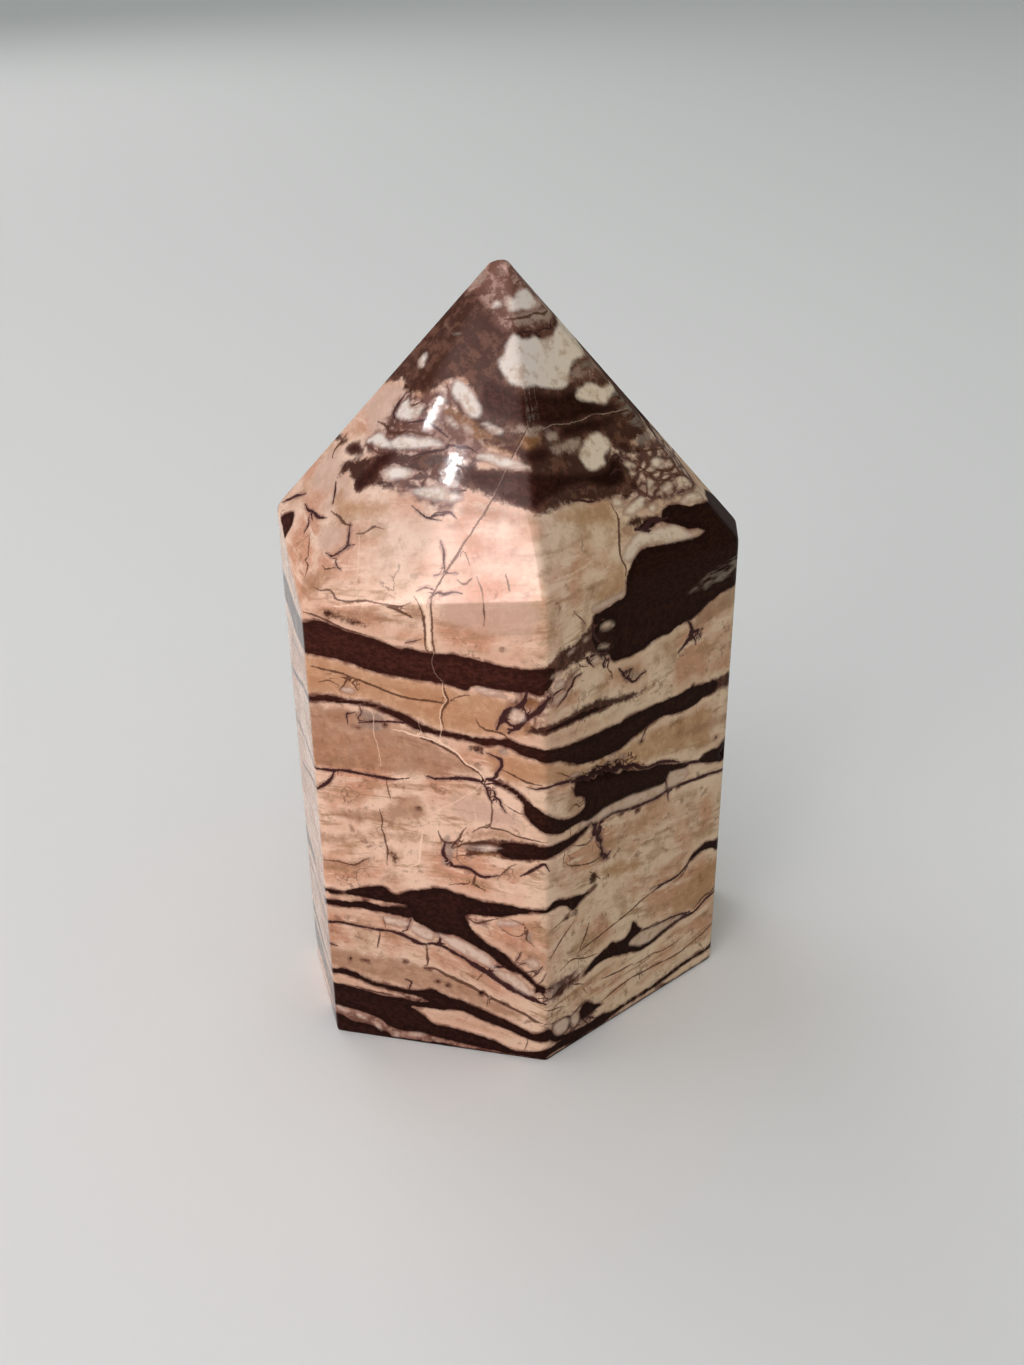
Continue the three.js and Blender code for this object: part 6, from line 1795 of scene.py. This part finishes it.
    def _threads(self, wiring: Wiring, grain: Grain, thread: Thread) -> Value:
        """How much of each spot the thin lines of one kind cover."""
        off = abs(grain.edge(thread.value, 0.30, 0.36))
        half = wiring.attribute(thread.value + "_half")
        if thread is not Thread.PALE:
            half = half * (grain.uneven * 1.6 + grain.mottle * 1.4 - 0.42)
        near = wiring.attribute(thread.value + "_reach")
        return wiring.fade(off - half, self.line_edge) * wiring.fade(near, self.line_ends)


# The studio


class Seen(Enum):
    """Which surfaces a lamp shows on: it lights matt ones, or it mirrors in glossy ones."""

    BY_MATT = "matt"
    BY_GLOSS = "gloss"


WHITE: Colour = (1.0, 1.0, 1.0)


@dataclass(frozen=True)
class Lamp:
    """A soft rectangular lamp that faces a point near the stone."""

    name: str
    towards: tuple[float, float, float]
    distance: float
    width: float
    depth: float
    brightness: float
    colour: Colour = WHITE
    seen: Seen = Seen.BY_MATT
    target: tuple[float, float, float] = (0.0, 0.0, 50.0)

    def place(self) -> None:
        """Makes the lamp. Its power follows from its size, so that brightness is what is seen."""
        lamp = bpy.data.lights.new(self.name, "AREA")
        lamp.shape = "RECTANGLE"
        lamp.size, lamp.size_y = self.width * MILLIMETRE, self.depth * MILLIMETRE
        lamp.energy = self.brightness * math.pi * lamp.size * lamp.size_y
        lamp.color = self.colour
        holder = bpy.data.objects.new(self.name, lamp)
        way = Vector(self.towards).normalized()
        holder.location = (Vector(self.target) + way * self.distance) * MILLIMETRE
        holder.rotation_euler = way.to_track_quat("Z", "Y").to_euler()
        holder.visible_diffuse = self.seen is Seen.BY_MATT
        holder.visible_glossy = self.seen is Seen.BY_GLOSS
        bpy.context.scene.collection.objects.link(holder)


@dataclass
class Studio:
    """The pale floor, the lamps and the even light of the room."""

    floor_size: float = 6000.0
    floor_colour: Colour = (0.78, 0.78, 0.782)
    floor_roughness: float = 0.85
    floor_gloss: float = 0.2
    room_colour: Colour = (0.95, 1.0, 0.985)
    room_brightness: float = 0.58
    gamma: float = 0.8
    exposure: float = -0.18
    lamps: tuple[Lamp, ...] = (
        Lamp("overhead", (-0.62, 0.05, 0.78), 620.0, 380.0, 380.0, 1.3, (1.0, 0.95, 0.95)),
        Lamp("key", (-0.12, -0.62, 0.77), 900.0, 460.0, 460.0, 3.0, (1.0, 0.96, 0.95)),
        Lamp("left panel", (-0.62, -0.75, 0.22), 900.0, 560.0, 380.0, 4.3, (1.0, 0.90, 0.88)),
        Lamp("back", (-0.45, 0.72, 0.52), 1200.0, 800.0, 600.0, 2.0, (1.0, 0.95, 0.94)),
        Lamp("glow", (-0.54, -0.54, 0.64), 900.0, 560.0, 560.0, 4.0, (1.0, 0.97, 0.96), Seen.BY_GLOSS),
        Lamp("glare", (-0.424, -0.706, 0.566), 900.0, 290.0, 310.0, 75.0, (1.0, 0.74, 0.70), Seen.BY_GLOSS),
        Lamp("spark high", (-0.51, -0.49, 0.71), 700.0, 3.6, 19.0, 2400.0, WHITE,
             Seen.BY_GLOSS, (-8.9, -7.6, 81.1)),
        Lamp("spark low", (-0.50, -0.52, 0.69), 700.0, 3.6, 19.0, 2400.0, WHITE,
             Seen.BY_GLOSS, (-7.1, -12.0, 75.7)),
    )

    def floor(self) -> bpy.types.Object:
        """A wide flat floor under the stone."""
        half = self.floor_size / 2 * MILLIMETRE
        corners = [(-half, -half, 0), (half, -half, 0), (half, half, 0), (-half, half, 0)]
        mesh = bpy.data.meshes.new("floor")
        mesh.from_pydata(corners, [], [(0, 1, 2, 3)])
        material = bpy.data.materials.new("pale_floor")
        material.use_nodes = True
        surface = material.node_tree.nodes["Principled BSDF"]
        surface.inputs["Base Color"].default_value = (*self.floor_colour, 1.0)
        surface.inputs["Roughness"].default_value = self.floor_roughness
        surface.inputs["Specular IOR Level"].default_value = self.floor_gloss
        mesh.materials.append(material)
        floor = bpy.data.objects.new("floor", mesh)
        bpy.context.scene.collection.objects.link(floor)
        return floor

    def room(self) -> None:
        """Even light from every side."""
        world = bpy.data.worlds.new("room")
        world.use_nodes = True
        background = world.node_tree.nodes["Background"]
        background.inputs["Color"].default_value = (*self.room_colour, 1.0)
        background.inputs["Strength"].default_value = self.room_brightness
        bpy.context.scene.world = world

    def build(self) -> None:
        """Sets up the floor, the room and the lamps."""
        self.floor()
        self.room()
        for lamp in self.lamps:
            lamp.place()
        bpy.context.scene.view_settings.view_transform = "Standard"
        bpy.context.scene.view_settings.gamma = self.gamma
        bpy.context.scene.view_settings.exposure = self.exposure


@dataclass(frozen=True)
class Viewpoint:
    """The camera that took the photograph, as fitted to the stone's visible corners."""

    place: tuple[float, float, float] = (-0.81, -166.34, 134.19)
    pitch: float = 28.985
    roll: float = -0.622
    yaw: float = -0.010
    photo_height: float = 1365.0
    focal_length: float = 1500.0
    sensor: float = 36.0
    nearest: float = 10.0
    furthest: float = 20000.0

    def build(self) -> None:
        """Makes the camera and gives it to the scene."""
        pitch, roll, yaw = (math.radians(angle) for angle in (self.pitch, self.roll, self.yaw))
        right = Vector((math.cos(yaw), math.sin(yaw), 0.0))
        flat = math.cos(pitch)
        ahead = Vector((-math.sin(yaw) * flat, math.cos(yaw) * flat, -math.sin(pitch)))
        up = right.cross(ahead)
        side = right * math.cos(roll) + up * math.sin(roll)
        above = up * math.cos(roll) - right * math.sin(roll)
        lens = bpy.data.cameras.new("camera")
        lens.sensor_width = self.sensor
        lens.lens = self.focal_length / self.photo_height * self.sensor
        lens.clip_start, lens.clip_end = self.nearest * MILLIMETRE, self.furthest * MILLIMETRE
        camera = bpy.data.objects.new("camera", lens)
        turn = Matrix((side, above, -ahead)).transposed().to_4x4()
        camera.matrix_world = Matrix.Translation(Vector(self.place) * MILLIMETRE) @ turn
        bpy.context.scene.collection.objects.link(camera)
        bpy.context.scene.camera = camera


@dataclass
class JasperTower:
    """The polished stone: its shape, its markings and its finish."""

    name: str = "polished_tower"
    node: str = "jasper_tower"
    slot: str = "zebra_jasper"
    hollows: tuple[Hollow, ...] = (VEIN_HOLLOW, EAST_CHIP)
    regions: tuple[Region, ...] = REGIONS

    def build(self) -> bpy.types.Object:
        """Makes the stone, marks it and gives it its finish."""
        shape = TowerShape()
        form = StoneMesh(shape, self.hollows)
        stone = form.build(self.name)
        markings = Markings(shape, form)
        for region in self.regions:
            for area in region.areas():
                markings.spread(area)
            for line in region.threads():
                markings.draw(line)
            LOG.info("%s: %d areas, %d lines", region.name, len(region.areas()), len(region.threads()))
        markings.write(stone, markings.grain(GRAIN_COURSES))
        stone.data.materials.append(JasperFinish().build())
        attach(stone, "root")
        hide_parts(self.node)
        LOG.info("%s: %d points", self.name, len(form.points))
        return stone


def main() -> None:
    """Builds the stone, the studio and the camera."""
    logging.basicConfig(level=logging.INFO, format="%(message)s")
    JasperTower().build()
    Studio().build()
    Viewpoint().build()


if __name__ == "__main__":
    main()
